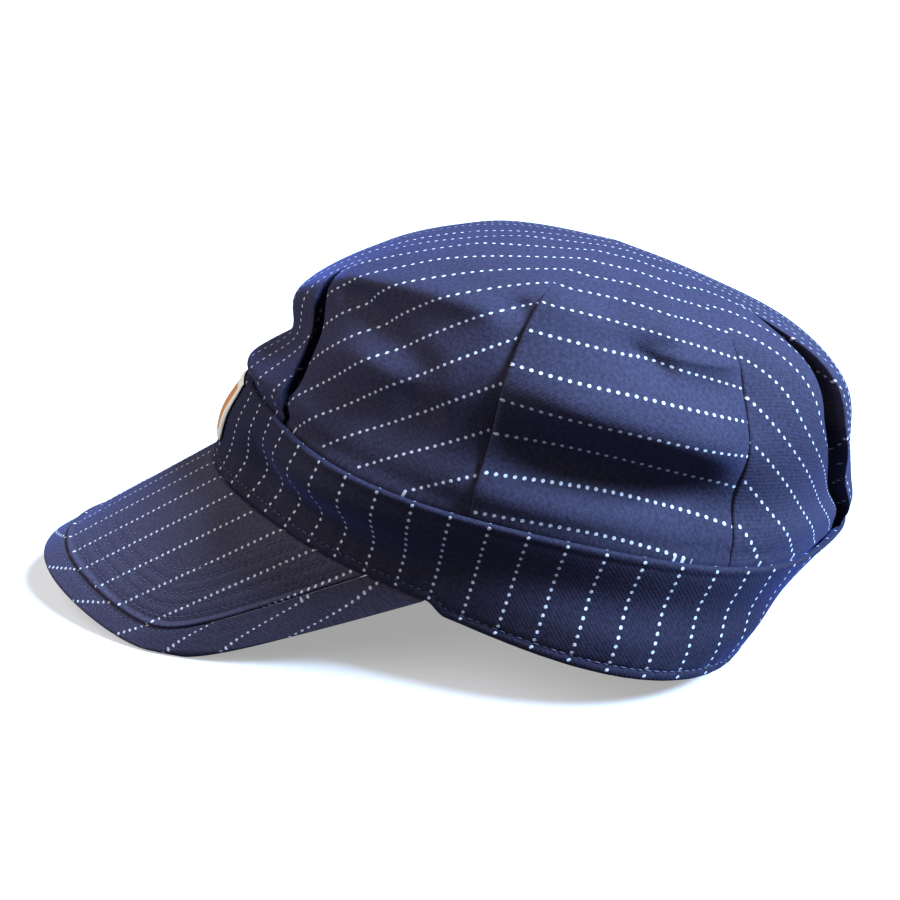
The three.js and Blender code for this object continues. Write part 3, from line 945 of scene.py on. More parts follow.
@dataclass(frozen=True)
class Crown:
    """The crown: one cloth that folds down from the top and is drawn in by eight tucks.

    Places on it are an arc along the band's rim and a level, 0 at the band and 1 at the middle
    of the top, where apex_y is. Shares are of the way from the rim to the shoulder, and from the
    shoulder to the apex. The top falls by side_drop's second value at its first, out from the
    middle line. The stripes are fitted: above unfold_level they lie as on a flat top, below it
    each panel turns by its panel_turns, and the drawn tables give what is left.
    """

    wall: float = 1.6
    neck: float = 5.0
    foot_rise: float = 0.5
    apex_y: float = 14.0
    top_lift: float = 1.0
    foot_roll: float = 1.3
    foot_roll_level: float = 0.045
    foot_roll_reach: float = 0.035
    clearance: float = 0.3
    beside_fold: float = 0.5
    front_fade: float = 12.0
    back_fade: float = 14.0
    levels: int = 128
    inner_levels: int = 26
    column_step: float = 1.9
    crowding: float = 0.225
    lap_room: float = 1.2
    lap_reach: float = 4.0
    wall_shares: tuple[float, float] = (0.22, 0.58)
    top_shares: tuple[float, ...] = (0.3, 0.62, 0.86, 1.0)
    meridians: tuple[Meridian, ...] = (
        Meridian(0, 0, -94, 60, 7, -17),
        Meridian(50.5, 35, -75, 74, 4.5, -8.5),
        Meridian(87.75, 56.5, -43.5, 84, -1.5, 2.5),
        Meridian(125, 72, -14, 87, 0.5, 3.5),
        Meridian(162, 74.5, 17, 85.5, -2.5, 4.5),
        Meridian(199, 60, 45, 84.5, 0.5, 3.5),
        Meridian(235, 46.5, 77.5, 83, -1.5, 3.5),
        Meridian(271, 18.5, 87, 81.5, 3, -5.5),
        Meridian(302, 0, 107, 72, 3.5, -1),
    )
    tucks: tuple[Tuck, ...] = (
        Tuck(50.5, -1, 0.4, 8, 5.0, 3.4, 0.46, 4.0, 7),
        Tuck(125, 1, 0.8, 11, 1.5, 7, 0.52, 1.5),
        Tuck(199, 1, 0.15, 8, 0.5, 4, 0.46, 0.9),
        Tuck(271, 1, 3.6, 10, 4.6, 6, 0.62, 6.0, 40, 0.3),
    )
    fold: tuple[FoldPoint, ...] = (
        FoldPoint(0.5, 1.0),
        FoldPoint(1.0, 0.95),
        FoldPoint(0.6, 0.45),
        FoldPoint(0, 0, -0.15, 0.95),
        FoldPoint(0, 0, -0.55, 0.5),
        FoldPoint(0, 0, -0.35, 0.1),
    )
    top_line: tuple[tuple[float, float], ...] = (
        (-100, 50), (-88, 64.5), (-78, 71), (-62, 83), (-47, 90.7), (-31, 98), (-10, 99.6),
        (15, 99.9), (43, 96.4), (65, 91.2), (82, 88.9), (95, 82.9), (110, 70),
    )
    side_drop: tuple[float, float] = (70, 13)
    panel_turns: tuple[float, ...] = (0, 45, 90, 135, 180)
    drawn_across: tuple[tuple[float, ...], ...] = (
        (-10.4, -10.4, -10.4, -10.4, -10.4, -10.4),
        (-10.6, -11.6, -12.3, -12.4, -11.6, -10.4),
        (-10.6, -12.7, -14.8, -16.2, -15.0, -10.4),
        (-1.3, -3.2, -7.0, -16.2, -15.0, -10.4),
        (-1.1, -7.9, -19.7, -23.2, -12.8, -10.4),
        (0.8, -0.8, -7.2, -8.0, -2.1, -10.4),
        (-3.8, -1.0, -7.9, -8.0, -2.1, -10.4),
        (-3.2, -2.3, -13.9, -12.6, -1.3, -10.4),
        (2.8, 8.3, -1.0, -6.1, -2.2, -10.4),
        (-2.1, 3.7, 6.4, -6.1, -2.2, -10.4),
        (-6.3, -4.6, 1.1, 1.9, 1.9, -10.4),
        (-13.4, -22.5, -13.0, 3.4, 2.7, -10.4),
        (-9.7, -4.9, -0.2, 3.4, 2.7, -10.4),
        (-10.0, -7.5, -5.1, -3.7, -5.1, -10.4),
        (-10.4, -10.4, -10.4, -10.4, -10.4, -10.4),
    )
    drawn_along: tuple[tuple[float, ...], ...] = (
        (4.5, 3.7, 2.7, 1.4, 0.1, -1.2),
        (4.2, 3.0, 1.8, 0.7, -0.3, -1.2),
        (3.7, 2.1, 0.6, -0.3, -0.9, -1.2),
        (5.1, 2.8, 0.9, -0.3, -0.9, -1.2),
        (3.4, 1.2, -0.5, -1.0, -1.1, -1.2),
        (1.7, -0.3, -1.3, -1.2, -1.2, -1.2),
        (1.8, 0.7, -0.5, -1.2, -1.2, -1.2),
        (1.5, 0.9, 0.3, -0.5, -1.0, -1.2),
        (1.1, 0.6, 0.0, -0.5, -0.8, -1.2),
        (-0.9, -0.3, -0.4, -0.5, -0.8, -1.2),
        (-5.5, -1.9, -0.6, -0.5, -0.8, -1.2),
        (-10.4, -4.1, -1.1, -0.5, -0.8, -1.2),
        (-0.5, -0.5, -0.5, -0.5, -0.8, -1.2),
        (-0.5, -0.6, -0.8, -0.9, -1.0, -1.2),
        (-0.5, -0.7, -0.9, -1.1, -1.2, -1.2),
    )
    unfold_level: float = 0.57
    dents: tuple[Dent, ...] = (
        Dent(1, 150, 0.6, 12, 0.05, 1.4),
        Dent(1, 180, 0.5, 12, 0.05, 1.6),
        Dent(1, 118.5, 0.39, 5, 0.035, 3.2),
        Dent(1, 160, 0.38, 32, 0.07, 3.5),
        Dent(1, 182, 0.32, 13, 0.035, 1.6),
        Dent(1, 145, 0.04, 30, 0.035, -1.5),
        Dent(1, 88, 0.05, 34, 0.09, 3.0),
        Dent(1, 88, 0.29, 24, 0.05, 1.8),
        Dent(1, 84, 0.19, 26, 0.04, -1.2),
        Dent(-1, 165, 0.55, 16, 0.06, 2.5),
        Dent(-1, 92, 0.48, 14, 0.06, 1.5),
        Dent(-1, 150, 0.24, 30, 0.06, -2.5),
        Dent(-1, 160, 0.12, 30, 0.05, 2.0),
    )
    creases: tuple[Crease, ...] = (
        Crease(1, (129, 0.43), (136, 0.70), 6, -2.6),
        Crease(1, (144, 0.46), (158, 0.70), 6.5, 2.0),
        Crease(1, (170, 0.44), (174, 0.68), 5, -2.2),
        Crease(1, (184, 0.43), (191, 0.60), 6, 1.8),
        Crease(1, (157, 0.375), (171, 0.33), 4.6, 2.8),
        Crease(1, (168, 0.38), (197, 0.385), 3.6, -1.8),
        Crease(1, (128, 0.235), (196, 0.205), 7.5, -4.5, CreaseLine.ROLLED),
        Crease(1, (128, 0.135), (200, 0.075), 8.5, 4.0, CreaseLine.ROLLED),
        Crease(1, (58, 0.41), (120, 0.375), 5, -2.4, CreaseLine.ROLLED),
        Crease(1, (58, 0.38), (80, 0.27), 4.5, 2.2, CreaseLine.ROLLED),
        Crease(1, (80, 0.26), (104, 0.20), 5, 2.4, CreaseLine.ROLLED),
        Crease(1, (94, 0.16), (108, 0.13), 4, 1.6, CreaseLine.ROLLED),
        Crease(-1, (132, 0.45), (140, 0.68), 6, -2.2),
        Crease(-1, (72, 0.36), (104, 0.22), 7, 2.2, CreaseLine.ROLLED),
        Crease(-1, (186, 0.43), (190, 0.62), 6, 1.8),
    )

    def shoulders(self, arc: np.ndarray) -> np.ndarray:
        """Shoulder values at arcs: a parabola across each panel, creased at its tucks.

        Args:
            arc: Arcs along the rim, one a column.

        Returns:
            The values of Meridian.row, one row a column.
        """
        rows, half = self.meridians, RIM.half_girth()
        creased = rows[1::2]
        first, last = creased[0], creased[-1]
        spans = [(-first.arc, first.arc, first.row(True), rows[0].row(), first.row())]
        for low, middle, high in zip(creased, rows[2::2], creased[1:]):
            spans.append((low.arc, high.arc, low.row(), middle.row(), high.row()))
        spans.append((last.arc, 2 * half - last.arc, last.row(), rows[-1].row(), last.row(True)))
        values = np.zeros((len(arc), 5))
        for number, (low, high, start, middle, end) in enumerate(spans):
            chosen = (arc <= high) & ((arc > low) | (number == 0))
            t = ((arc[chosen] - low) / (high - low))[:, None]
            middles = middle * 4 * t * (1 - t)
            values[chosen] = start * (1 - t) * (1 - 2 * t) + middles + end * t * (2 * t - 1)
        return values

    def top_height(self, x: np.ndarray, y: np.ndarray) -> np.ndarray:
        """Height of the top at places in plan.

        Args:
            x: Across the cap.
            y: Along it.

        Returns:
            Millimetres over the seam plane.
        """
        line_y, line_z = np.array(self.top_line).T
        at_x, drop = self.side_drop
        return np.interp(y, line_y, line_z) - drop * (x / at_x) ** 2

    @staticmethod
    def weights(level: np.ndarray, controls: int = 8) -> np.ndarray:
        """Weights of a clamped cubic B-spline's control points at levels from 0 to 1.

        Args:
            level: The levels.
            controls: How many control points, six in the drawn tables and eight in the surface.

        Returns:
            Weights, one row a level.
        """
        knots = np.concatenate([[0] * 3, np.linspace(0, 1, controls - 2), [1] * 3])
        x = np.clip(level, 0, 1 - 1e-9)
        spans = zip(knots, knots[1:])
        values = [np.where((low <= x) & (x < high), 1.0, 0.0) for low, high in spans]
        for degree in range(1, 4):
            raised = []
            for at in range(len(values) - 1):
                rise, fall = knots[at + degree] - knots[at], knots[at + degree + 1] - knots[at + 1]
                value = (x - knots[at]) / rise * values[at] if rise > 0 else 0 * x
                if fall > 0:
                    value = value + (knots[at + degree + 1] - x) / fall * values[at + 1]
                raised.append(value)
            values = raised
        return np.stack(values, -1)

    def surface(
        self, arc: np.ndarray, level: np.ndarray, side: int, worn: bool = True
    ) -> np.ndarray:
        """Outer face at arcs and levels, before the tucks' laps.

        Args:
            arc: Arcs along the rim from the front, one a column.
            level: 0 at the band and 1 at the middle of the top, one a row.
            side: 1 for the wearer's left and -1 for the right, which is given mirrored.
            worn: Whether the cloth has its dents and creases.

        Returns:
            Points shaped (columns, rows, 3).
        """
        arcs, levels = self.leaned(arc, level), level[None]
        values = self.shoulders(arcs.ravel()).reshape(*arcs.shape, 5)
        corner, low, high = values[..., :3], values[..., 3:4], values[..., 4:5]
        foot = BAND.point(RIM.angle_at(arcs) * side, BAND.height, BAND.wall + self.clearance)
        foot = foot * np.array([side, 1, 1])
        foot[..., 2] += self.foot_rise
        flat = np.array([1, 1, 0])
        from_foot = unit((foot - np.array([0, RIM.centre_y, 0])) * flat)
        from_apex = unit((corner - np.array([0, self.apex_y, 0])) * flat)
        low_share, high_share = self.wall_shares
        controls = [
            foot,
            foot + (corner - foot) * low_share + from_foot * low,
            foot + (corner - foot) * high_share + (from_foot + from_apex) / 2 * high,
            corner,
        ]
        for share in self.top_shares:
            point = corner + (np.array([0, self.apex_y, 0]) - corner) * share
            point[..., 2] = self.top_height(point[..., 0], point[..., 1]) + self.top_lift
            controls.append(point)
        points = np.einsum("lc,cald->ald", self.weights(level), np.stack(controls))
        out = sum(tuck.relief(arc[:, None], levels) for tuck in self.tucks)
        rolled = bell(levels - self.foot_roll_level, self.foot_roll_reach)
        rolled = rolled * smooth(levels, 0, 0.03)
        out = out + self.foot_roll * rolled
        if worn:
            out = out + self.wear(arcs, levels, side)
        return points + from_apex * out[..., None]

    def leaned(self, arc: np.ndarray, level: np.ndarray) -> np.ndarray:
        """Where columns lie along the rim's arc at levels, as the tucks' lines lean forward.

        Args:
            arc: Arcs along the rim, one a column.
            level: Levels, one a row.

        Returns:
            Arcs, shaped (columns, rows).
        """
        marks = self.panel_edges()
        arcs = np.repeat(np.asarray(arc, float)[:, None], len(level), axis=1)
        for number, tuck in enumerate(self.tucks, 1):
            near = np.interp(arc, marks[number - 1 : number + 2], (0, 1, 0))
            arcs -= tuck.lean * near[:, None] * smooth(level, 0, tuck.lean_level)
        return arcs

    def wear(self, arcs: np.ndarray, levels: np.ndarray, side: int) -> np.ndarray:
        """How far the dents and creases of one side move the face out.

        Args:
            arcs: Arcs of the points.
            levels: Levels of the points.
            side: 1 for the wearer's left and -1 for the right.

        Returns:
            Millimetres outwards.
        """
        out = np.zeros(np.broadcast_shapes(arcs.shape, levels.shape))
        for mark in (*self.dents, *self.creases):
            if mark.side == side:
                out -= mark.relief(arcs, levels)
        return out

    def half_columns(self) -> list[Column]:
        """Columns of one half, from the front to the back, with the fold's at each tuck.

        Returns:
            The columns.
        """
        edges, last = self.panel_edges(), len(self.tucks)
        columns: list[Column] = []
        for panel in range(last + 1):
            low = edges[panel] + (self.beside_fold if panel else 0)
            high = edges[panel + 1] - (self.beside_fold if panel < last else 0)
            even = np.linspace(0, 1, round((high - low) / self.column_step) + 1)
            crowded = self.crowding * (1 - np.cos(math.pi * even))
            arcs = low + (high - low) * ((1 - 2 * self.crowding) * even + crowded)
            columns.extend(Column(float(arc), panel) for arc in arcs)
            if panel < last:
                tuck = self.tucks[panel]
                under = panel + max(tuck.over, 0)
                columns.extend(Column(tuck.arc, under, tuck, at) for at in self.fold[:: tuck.over])
        return columns

    def panel_edges(self) -> list[float]:
        """Arcs between which the panels lie."""
        return [0.0, *(tuck.arc for tuck in self.tucks), RIM.half_girth()]

    def half(self, side: int) -> tuple[np.ndarray, np.ndarray, np.ndarray, np.ndarray]:
        """One half of the crown, on the left side whichever side it is for.

        Args:
            side: 1 for the wearer's left and -1 for the right.

        Returns:
            Outer points, inner points, and flat cloth coordinates as seen by the faces before
            and after each column.
        """
        columns = self.half_columns()
        arc = np.array([column.arc for column in columns])
        panels = np.array([column.panel for column in columns])
        level = np.linspace(0, 1, self.levels + 1)
        points = self.surface(arc, level, side)
        normal = self.normals(arc, level, side, panels)
        along = unit(np.cross(np.array([0, 0, 1.0]), normal))
        unworn = self.surface(arc, level, side, worn=False)
        flat_before = self.flat_cloth(arc, level, unworn, panels)
        if side > 0:
            half = RIM.half_girth()
            from_middles = smooth(arc, 0, self.front_fade)
            from_middles = from_middles * (1 - smooth(arc, half - self.back_fade, half))
            drawn = self.drawn(arc, level, panels)
            drawn[..., 1] *= from_middles[:, None]
            flat_before += drawn
        flat_after = flat_before.copy()
        for number, column in enumerate(columns):
            if column.fold is None:
                continue
            tuck, fold = column.tuck, column.fold
            folded = tuck.folded(level)
            shift = (fold.under * tuck.lap + fold.along) * folded * tuck.over
            drop = (fold.down * tuck.step + fold.below) * folded
            points[number] += along[number] * shift[:, None] - normal[number] * drop[:, None]
        self.unfold_laps(columns, level, flat_before, flat_after)
        return points, self.inner_face(arc, side, panels), flat_before, flat_after

    def normals(
        self, arc: np.ndarray, level: np.ndarray, side: int, panels: np.ndarray
    ) -> np.ndarray:
        """Outward directions of the face.

        Args:
            arc: Each column's arc.
            level: Each row's level.
            side: 1 for the wearer's left and -1 for the right.
            panels: Each column's panel, over whose edges no step is taken.

        Returns:
            Directions shaped (columns, rows, 3).
        """
        edges = np.array(self.panel_edges())
        margin, step = 0.05, 0.6
        low, high = edges[panels] + margin, edges[panels + 1] - margin
        behind = np.clip(arc - step, low, high - step)
        ahead = np.clip(arc + step, low + step, high)
        across = self.surface(ahead, level, side) - self.surface(behind, level, side)
        up = np.gradient(self.surface(arc, level, side), axis=1)
        normal = unit(np.cross(across, up))
        normal[:, -1] = (0, 0, 1)
        return normal

    def inner_face(self, arc: np.ndarray, side: int, panels: np.ndarray) -> np.ndarray:
        """Inside of the cloth, with fewer rows than the outside.

        Args:
            arc: Arcs along the rim, one a column.
            side: 1 for the wearer's left and -1 for the right.
            panels: Each column's panel.

        Returns:
            Points shaped (columns, rows, 3).
        """
        rows = np.linspace(0, 1, self.inner_levels + 1)
        points = self.surface(arc, rows, side)
        normal = self.normals(arc, rows, side, panels)
        depth = np.full(points.shape[:2], self.wall)
        for tuck in self.tucks:
            beside = bell(arc - tuck.arc, self.lap_reach)[:, None]
            depth += self.lap_room * tuck.step * beside * tuck.folded(rows)
        return points - normal * depth[..., None]

    def flat_cloth(
        self, arc: np.ndarray, level: np.ndarray, points: np.ndarray, panels: np.ndarray
    ) -> np.ndarray:
        """Where the cloth lay when it was flat: x across the stripes, y along them.

        Args:
            arc: Each column's arc.
            level: Each row's level.
            points: The face's points.
            panels: Each column's panel, counted from the front.

        Returns:
            Flat coordinates in millimetres, shaped (columns, rows, 2).
        """
        steps = np.linalg.norm(np.diff(points, axis=1), axis=2)
        down = np.zeros(points.shape[:2])
        down[:, :-1] = np.cumsum(steps[:, ::-1], axis=1)[:, ::-1]
        around = np.arctan2(points[..., 0], self.apex_y - points[..., 1])
        around[:, -1] = around[:, -2]
        flat = np.stack([down * np.sin(around), -down * np.cos(around)], -1)
        unfold = int(round(self.unfold_level * (len(level) - 1)))
        row_steps = np.linalg.norm(np.diff(points, axis=0), axis=2)
        row = np.concatenate([np.zeros((1, len(level))), np.cumsum(row_steps, axis=0)])
        edges = self.panel_edges()
        middles = [0.0, *((edges[at] + edges[at + 1]) / 2 for at in (1, 2, 3)), edges[-1]]
        below = np.arange(len(level)) < unfold
        for panel, middle_arc in enumerate(middles):
            chosen = np.flatnonzero(panels == panel)
            middle = int(np.argmin(np.abs(arc - middle_arc)))
            onwards = self.onwards(panel)
            outwards = np.array([onwards[1], -onwards[0]])
            beside = row[chosen] - row[middle]
            if panel < len(self.tucks):
                drop = down[chosen]
                widened = beside - beside[:, unfold : unfold + 1]
                start = flat[chosen][:, unfold : unfold + 1] + widened[..., None] * onwards
            else:
                leaning = self.sideways(points[chosen], around[chosen])
                upright = np.sqrt(np.maximum(steps[chosen] ** 2 - leaning**2, 0))
                drop = np.zeros_like(beside)
                drop[:, :-1] = np.cumsum(upright[:, ::-1], axis=1)[:, ::-1]
                at_unfold = beside[:, unfold]
                matched = [np.interp(beside, at_unfold, part) for part in flat[chosen][:, unfold].T]
                past = beside - np.clip(beside, at_unfold[0], at_unfold[-1])
                start = np.stack(matched, -1) + past[..., None] * onwards
            drop = drop - drop[:, unfold : unfold + 1]
            unfolded = start + drop[..., None] * outwards
            flat[chosen] = np.where(below[None, :, None], unfolded, flat[chosen])
        return flat

    def onwards(self, panel: int) -> np.ndarray:
        """Direction round the crown in a panel's flat cloth."""
        turn = math.radians(self.panel_turns[panel])
        return np.array([math.cos(turn), math.sin(turn)])

    @staticmethod
    def sideways(points: np.ndarray, around: np.ndarray) -> np.ndarray:
        """How far each step up a leaning column goes round the crown."""
        steps = np.diff(points, axis=1)
        return steps[..., 0] * np.cos(around[:, :-1]) + steps[..., 1] * np.sin(around[:, :-1])

    def drawn(self, arc: np.ndarray, level: np.ndarray, panels: np.ndarray) -> np.ndarray:
        """How far the soft cloth has been drawn out of true, in millimetres of flat cloth.

        The tables have three rows a panel, at its front edge, middle and back edge, and a value
        for each control point from the band to the crown's middle.

        Args:
            arc: Each column's arc.
            level: Each row's level.
            panels: Each column's panel.

        Returns:
            Shifts across and along the stripes, shaped (columns, rows, 2).
        """
        edges = np.array(self.panel_edges())
        t = (arc - edges[panels]) / (edges[panels + 1] - edges[panels])
        shares = np.stack([(1 - t) ** 2, 2 * t * (1 - t), t * t], -1)
        both = (self.drawn_across, self.drawn_along)
        tables = [np.array(table).reshape(len(edges) - 1, 3, -1)[panels] for table in both]
        ups = self.weights(level, tables[0].shape[-1])
        return np.stack([np.einsum("cp,cpk,lk->cl", shares, table, ups) for table in tables], -1)

    def unfold_laps(
        self, columns: list[Column], level: np.ndarray, before: np.ndarray, after: np.ndarray
    ) -> None:
        """Runs each panel's flat cloth on under the folds, so that stripes meet the fold's edge.

        Args:
            columns: The half's columns.
            level: Each row's level.
            before: Flat coordinates as the faces before each column see them, changed in place.
            after: The same for the faces after it.
        """
        count = len(self.fold)
        for panel, tuck in enumerate(self.tucks):
            first = next(number for number, column in enumerate(columns) if column.tuck is tuck)
            folded = tuck.folded(level)[:, None]
            low_on, high_on = self.onwards(panel), self.onwards(panel + 1)
            low, high = before[first - 1].copy(), before[first + count].copy()
            for at in range(count):
                fold = columns[first + at].fold
                under = abs(fold.under * tuck.lap + fold.along) * folded
                on_lower = (at <= 1) if tuck.over > 0 else (at >= count - 2)
                from_low, from_high = low + low_on * under, high - high_on * under
                lower, upper = (from_low, from_high) if tuck.over > 0 else (from_high, from_low)
                before[first + at] = lower if on_lower else upper
                after[first + at] = before[first + at]
            turning = first + (1 if tuck.over > 0 else count - 2)
            if tuck.over > 0:
                after[turning] = high - high_on * tuck.lap * folded
            else:
                before[turning] = low + low_on * tuck.lap * folded

    def build(self, finish: Material) -> Object:
        """Builds and dresses the crown.

        Args:
            finish: The cloth's material.

        Returns:
            The finished piece, which stands for the CAD node.
        """
        left, right = self.half(1), self.half(-1)
        pairs = ((left[0], right[0]), (left[1], right[1]), (left[2], right[3]), (left[3], right[2]))
        outer, inner, before, after = (
            np.concatenate([one, other[-2:0:-1] * np.array([-1, 1, 1])[: one.shape[-1]]])
            for one, other in pairs
        )
        loop = np.concatenate([outer[:, -2::-1], self.neck_points(outer), inner[:, :-1]], 1)
        columns, total = loop.shape[:2]
        before, after = (self.loop_flat(part[:, -2::-1], total) for part in (before, after))
        quads = sheet_faces(columns, total, closed_rows=False)
        column_of, row_of = quads[..., 0] % columns, quads[..., 1]
        is_right = np.array([False, True, True, False])[None, :, None]
        uv = np.where(is_right, before[column_of, row_of], after[column_of, row_of])
        faces, uvs = (column_of * total + row_of).tolist(), [uv.reshape(-1, 2)]
        vertices = loop.reshape(-1, 3)
        top, under = len(vertices), len(vertices) + 1
        for column in range(columns):
            following = (column + 1) % columns
            faces.append([top, following * total, column * total])
            faces.append([under, (column + 1) * total - 1, (following + 1) * total - 1])
            uvs.append(np.array([(0, 0), before[following, 0], after[column, 0], *[(0, 0)] * 3]))
        vertices = np.concatenate([vertices, [outer[0, -1], inner[0, -1]]])
        made = piece_of("crown_cloth", vertices, faces, np.concatenate(uvs), finish)
        return settle(made, "crown")

    def neck_points(self, outer: np.ndarray) -> np.ndarray:
        """The part of each column that goes down inside the band and turns in.

        Args:
            outer: The outer face's points.

        Returns:
            Two points a column.
        """
        first = outer[:, 0]
        forward = -(first[:, 1] - RIM.centre_y) * RIM.half_width / RIM.half_length
        angle = np.arctan2(first[:, 0], forward)
        inset = BAND.wall + self.clearance
        depths = (inset, inset + self.wall)
        return np.stack([BAND.point(angle, BAND.height - self.neck, at) for at in depths], 1)

    @staticmethod
    def loop_flat(outer_flat: np.ndarray, total: int) -> np.ndarray:
        """Flat coordinates of whole columns, the inside taking those of the foot."""
        tail = np.repeat(outer_flat[:, -1:], total - outer_flat.shape[1], axis=1)
        return np.concatenate([outer_flat, tail], 1)


@dataclass(frozen=True)
class PeakOutline:
    """Edge of the peak or of its border: how long the rulings are, and where they run out."""

    length: float
    corner: float
    rise: float
    roundness: float

    def reach(self, arc: np.ndarray, inset: float = 0.0) -> np.ndarray:
        """Length of the rulings at arcs, up to a line set in from the outline.

        Args:
            arc: Signed arcs of the seam.
            inset: How far in the line is.

        Returns:
            Millimetres.
        """
        to_corner = np.maximum(self.corner - inset - np.abs(arc), 0.001)
        limits, power = (self.length - inset, self.rise * to_corner), -self.roundness
        return sum(np.maximum(limit, 0.001) ** power for limit in limits) ** (1 / power)


@dataclass(frozen=True)
class Peak:
    """The stiff peak: a quilted panel with stitch rows, and the border that edges it.

    Straight rulings run down and forward from the band's seam. slope is their angle, toe_in how
    much they draw together, and gap how far from the seam the cloth starts. allowance is the
    strip that stands up behind the band. An edge or roll is how far it sinks and its reach, and a
    row of ridges or dips is a bell's height, place and half width. A row of border_stripes is a
    stripe's number and the arcs of the seam at which it crosses the border's inner and outer line.
    """

    slope: float = math.radians(41.5)
    toe_in: float = 0.12 / 77.6
    wall: float = 3.0
    edge: PeakOutline = PeakOutline(80, PEAK_CORNER, 6.4, 3.3)
    border: PeakOutline = PeakOutline(68.4, 100.2, 8, 3)
    gap: float = 0.3
    allowance: float = 1.6
    allowance_wall: float = 0.6
    columns: int = 260
    panel_rows: int = 90
    border_rows: int = 18
    row_spacing: float = 5.6
    row_count: int = 5
    row_pitch: float = 2.6
    thread_proud: float = 0.02
    border_topstitch: float = 2.6
    puff: float = 0.28
    panel_edge: tuple[float, float, float] = (0.45, 0.1, 0.8)
    panel_ridges: tuple[tuple[float, float, float], ...] = ((0.75, 1.5, 1.15), (-0.3, 3.6, 0.8))
    panel_sunk: float = 0.5
    border_proud: float = 0.12
    border_dips: tuple[tuple[float, float, float], ...] = ((0.35, 0.0, 0.8), (0.16, 2.6, 0.7))
    border_roll: tuple[float, float] = (1.5, 1.6)
    underside_roll: tuple[float, float] = (1.2, 1.4)
    stripe_phase: float = 6.9
    border_stripes: tuple[tuple[float, float, float], ...] = (
        (-7.48, -118, -119.4), (-7.45, -112, -118), (-7, -104.6, -112), (-6, -97.5, -106),
        (-5, -92, -96), (-4, -80, -80), (-3, -58, -65), (-2, -33, -50), (-1, -8, -28),
        (0, 15.4, -3.5), (1, 40, 28.7), (2, 64.2, 54.2), (3, 82, 79.7), (4, 93.3, 98.3),
        (5, 97.8, 107.8), (6, 104.6, 112.5), (6.45, 112, 118), (6.48, 118, 119.4),
    )

    def ruling(self, arc: np.ndarray) -> np.ndarray:
        """Direction of the rulings at arcs of the seam.

        Args:
            arc: Signed arcs.

        Returns:
            Unit vectors, nearly.
        """
        seam_x = SEAM.point(SEAM.angle_at(arc))[..., 0]
        down = np.stack([-self.toe_in * seam_x, np.full_like(seam_x, -math.cos(self.slope))], -1)
        return np.concatenate([down, np.full_like(seam_x, -math.sin(self.slope))[..., None]], -1)

    def point(self, arc: np.ndarray, length: np.ndarray, depth: np.ndarray) -> np.ndarray:
        """Points of the peak.

        Args:
            arc: Signed arc of the seam.
            length: Length along the ruling.
            depth: Depth under the upper face.

        Returns:
            Points in the cap's frame.
        """
        values = (np.asarray(value, float) for value in (arc, length, depth))
        arc, length, depth = np.broadcast_arrays(*values)

        def face(at: np.ndarray) -> np.ndarray:
            """Point of the upper face."""
            seam = SEAM.point(SEAM.angle_at(at))
            return np.insert(seam, 2, 0, axis=-1) + self.ruling(at) * length[..., None]

        normal = unit(np.cross(face(arc + 0.5) - face(arc - 0.5), self.ruling(arc)))
        normal = np.where(normal[..., 2:] < 0, -normal, normal)
        return face(arc) - normal * depth[..., None]

    def flat_table(self) -> tuple[np.ndarray, np.ndarray, np.ndarray]:
        """Arcs of the seam, and the flat x and y of the seam's points in the peak's cloth.

        Returns:
            Three rows of millimetres.
        """
        arcs = np.linspace(-self.edge.corner - 2, self.edge.corner + 2, 961)
        seam = SEAM.point(SEAM.angle_at(arcs))
        steps = np.diff(np.concatenate([seam, np.zeros_like(seam[:, :1])], 1), axis=0)
        ruling = unit(self.ruling((arcs[1:] + arcs[:-1]) / 2))
        along = np.einsum("ij,ij->i", steps, ruling)
        across = np.sqrt(np.maximum(np.einsum("ij,ij->i", steps, steps) - along**2, 0))
        x, y = (np.concatenate([[0], np.cumsum(part)]) for part in (across, along))
        middle = len(arcs) // 2
        return arcs, x - x[middle], y - y[middle]

    def flat_cloth(self, arc: np.ndarray, length: np.ndarray) -> np.ndarray:
        """Flat coordinates in the panel's cloth, x across the stripes and y along them.

        Args:
            arc: Each column's arc.
            length: Length along the ruling, one a point.

        Returns:
            Flat coordinates, shaped (columns, rows, 2).
        """
        arcs, x, y = self.flat_table()
        across, start = (np.interp(arc, arcs, part)[:, None] for part in (x, y))
        return np.stack([np.broadcast_to(across, length.shape), start + length], -1)

    def inset_at(self, arc: np.ndarray, length: np.ndarray) -> np.ndarray:
        """How far in from the border's line each point of the panel lies.

        Args:
            arc: Each column's arc.
            length: Length along the ruling, one a point.

        Returns:
            Millimetres.
        """
        insets = np.linspace(0, 60, 241)
        reach = np.stack([self.border.reach(arc, inset) for inset in insets], -1)
        found = np.zeros_like(length)
        for column in range(len(arc)):
            found[column] = np.interp(-length[column], -reach[column], insets)
        return found

    def quilting(self, inset: np.ndarray, length: np.ndarray) -> np.ndarray:
        """Height of the panel's face: sunk along each stitch row and proud between.

        Args:
            inset: How far in from the border's line each point is.
            length: Its length along the ruling.

        Returns:
            Millimetres over the upper face.
        """
        wave = np.abs(np.sin(math.pi * inset / self.row_spacing)) ** 0.7
        puff = self.puff * wave - self.puff / 2
        last = self.row_count * self.row_spacing
        quilted = (1 - smooth(inset, last - 0.3 * self.row_spacing, last)) * smooth(inset, 2.4, 4.5)
        seam = smooth(length, 0, 2.0)
        face = puff * quilted + bells(inset, self.panel_ridges)
        return face * seam - self.panel_sunk * (1 - seam)

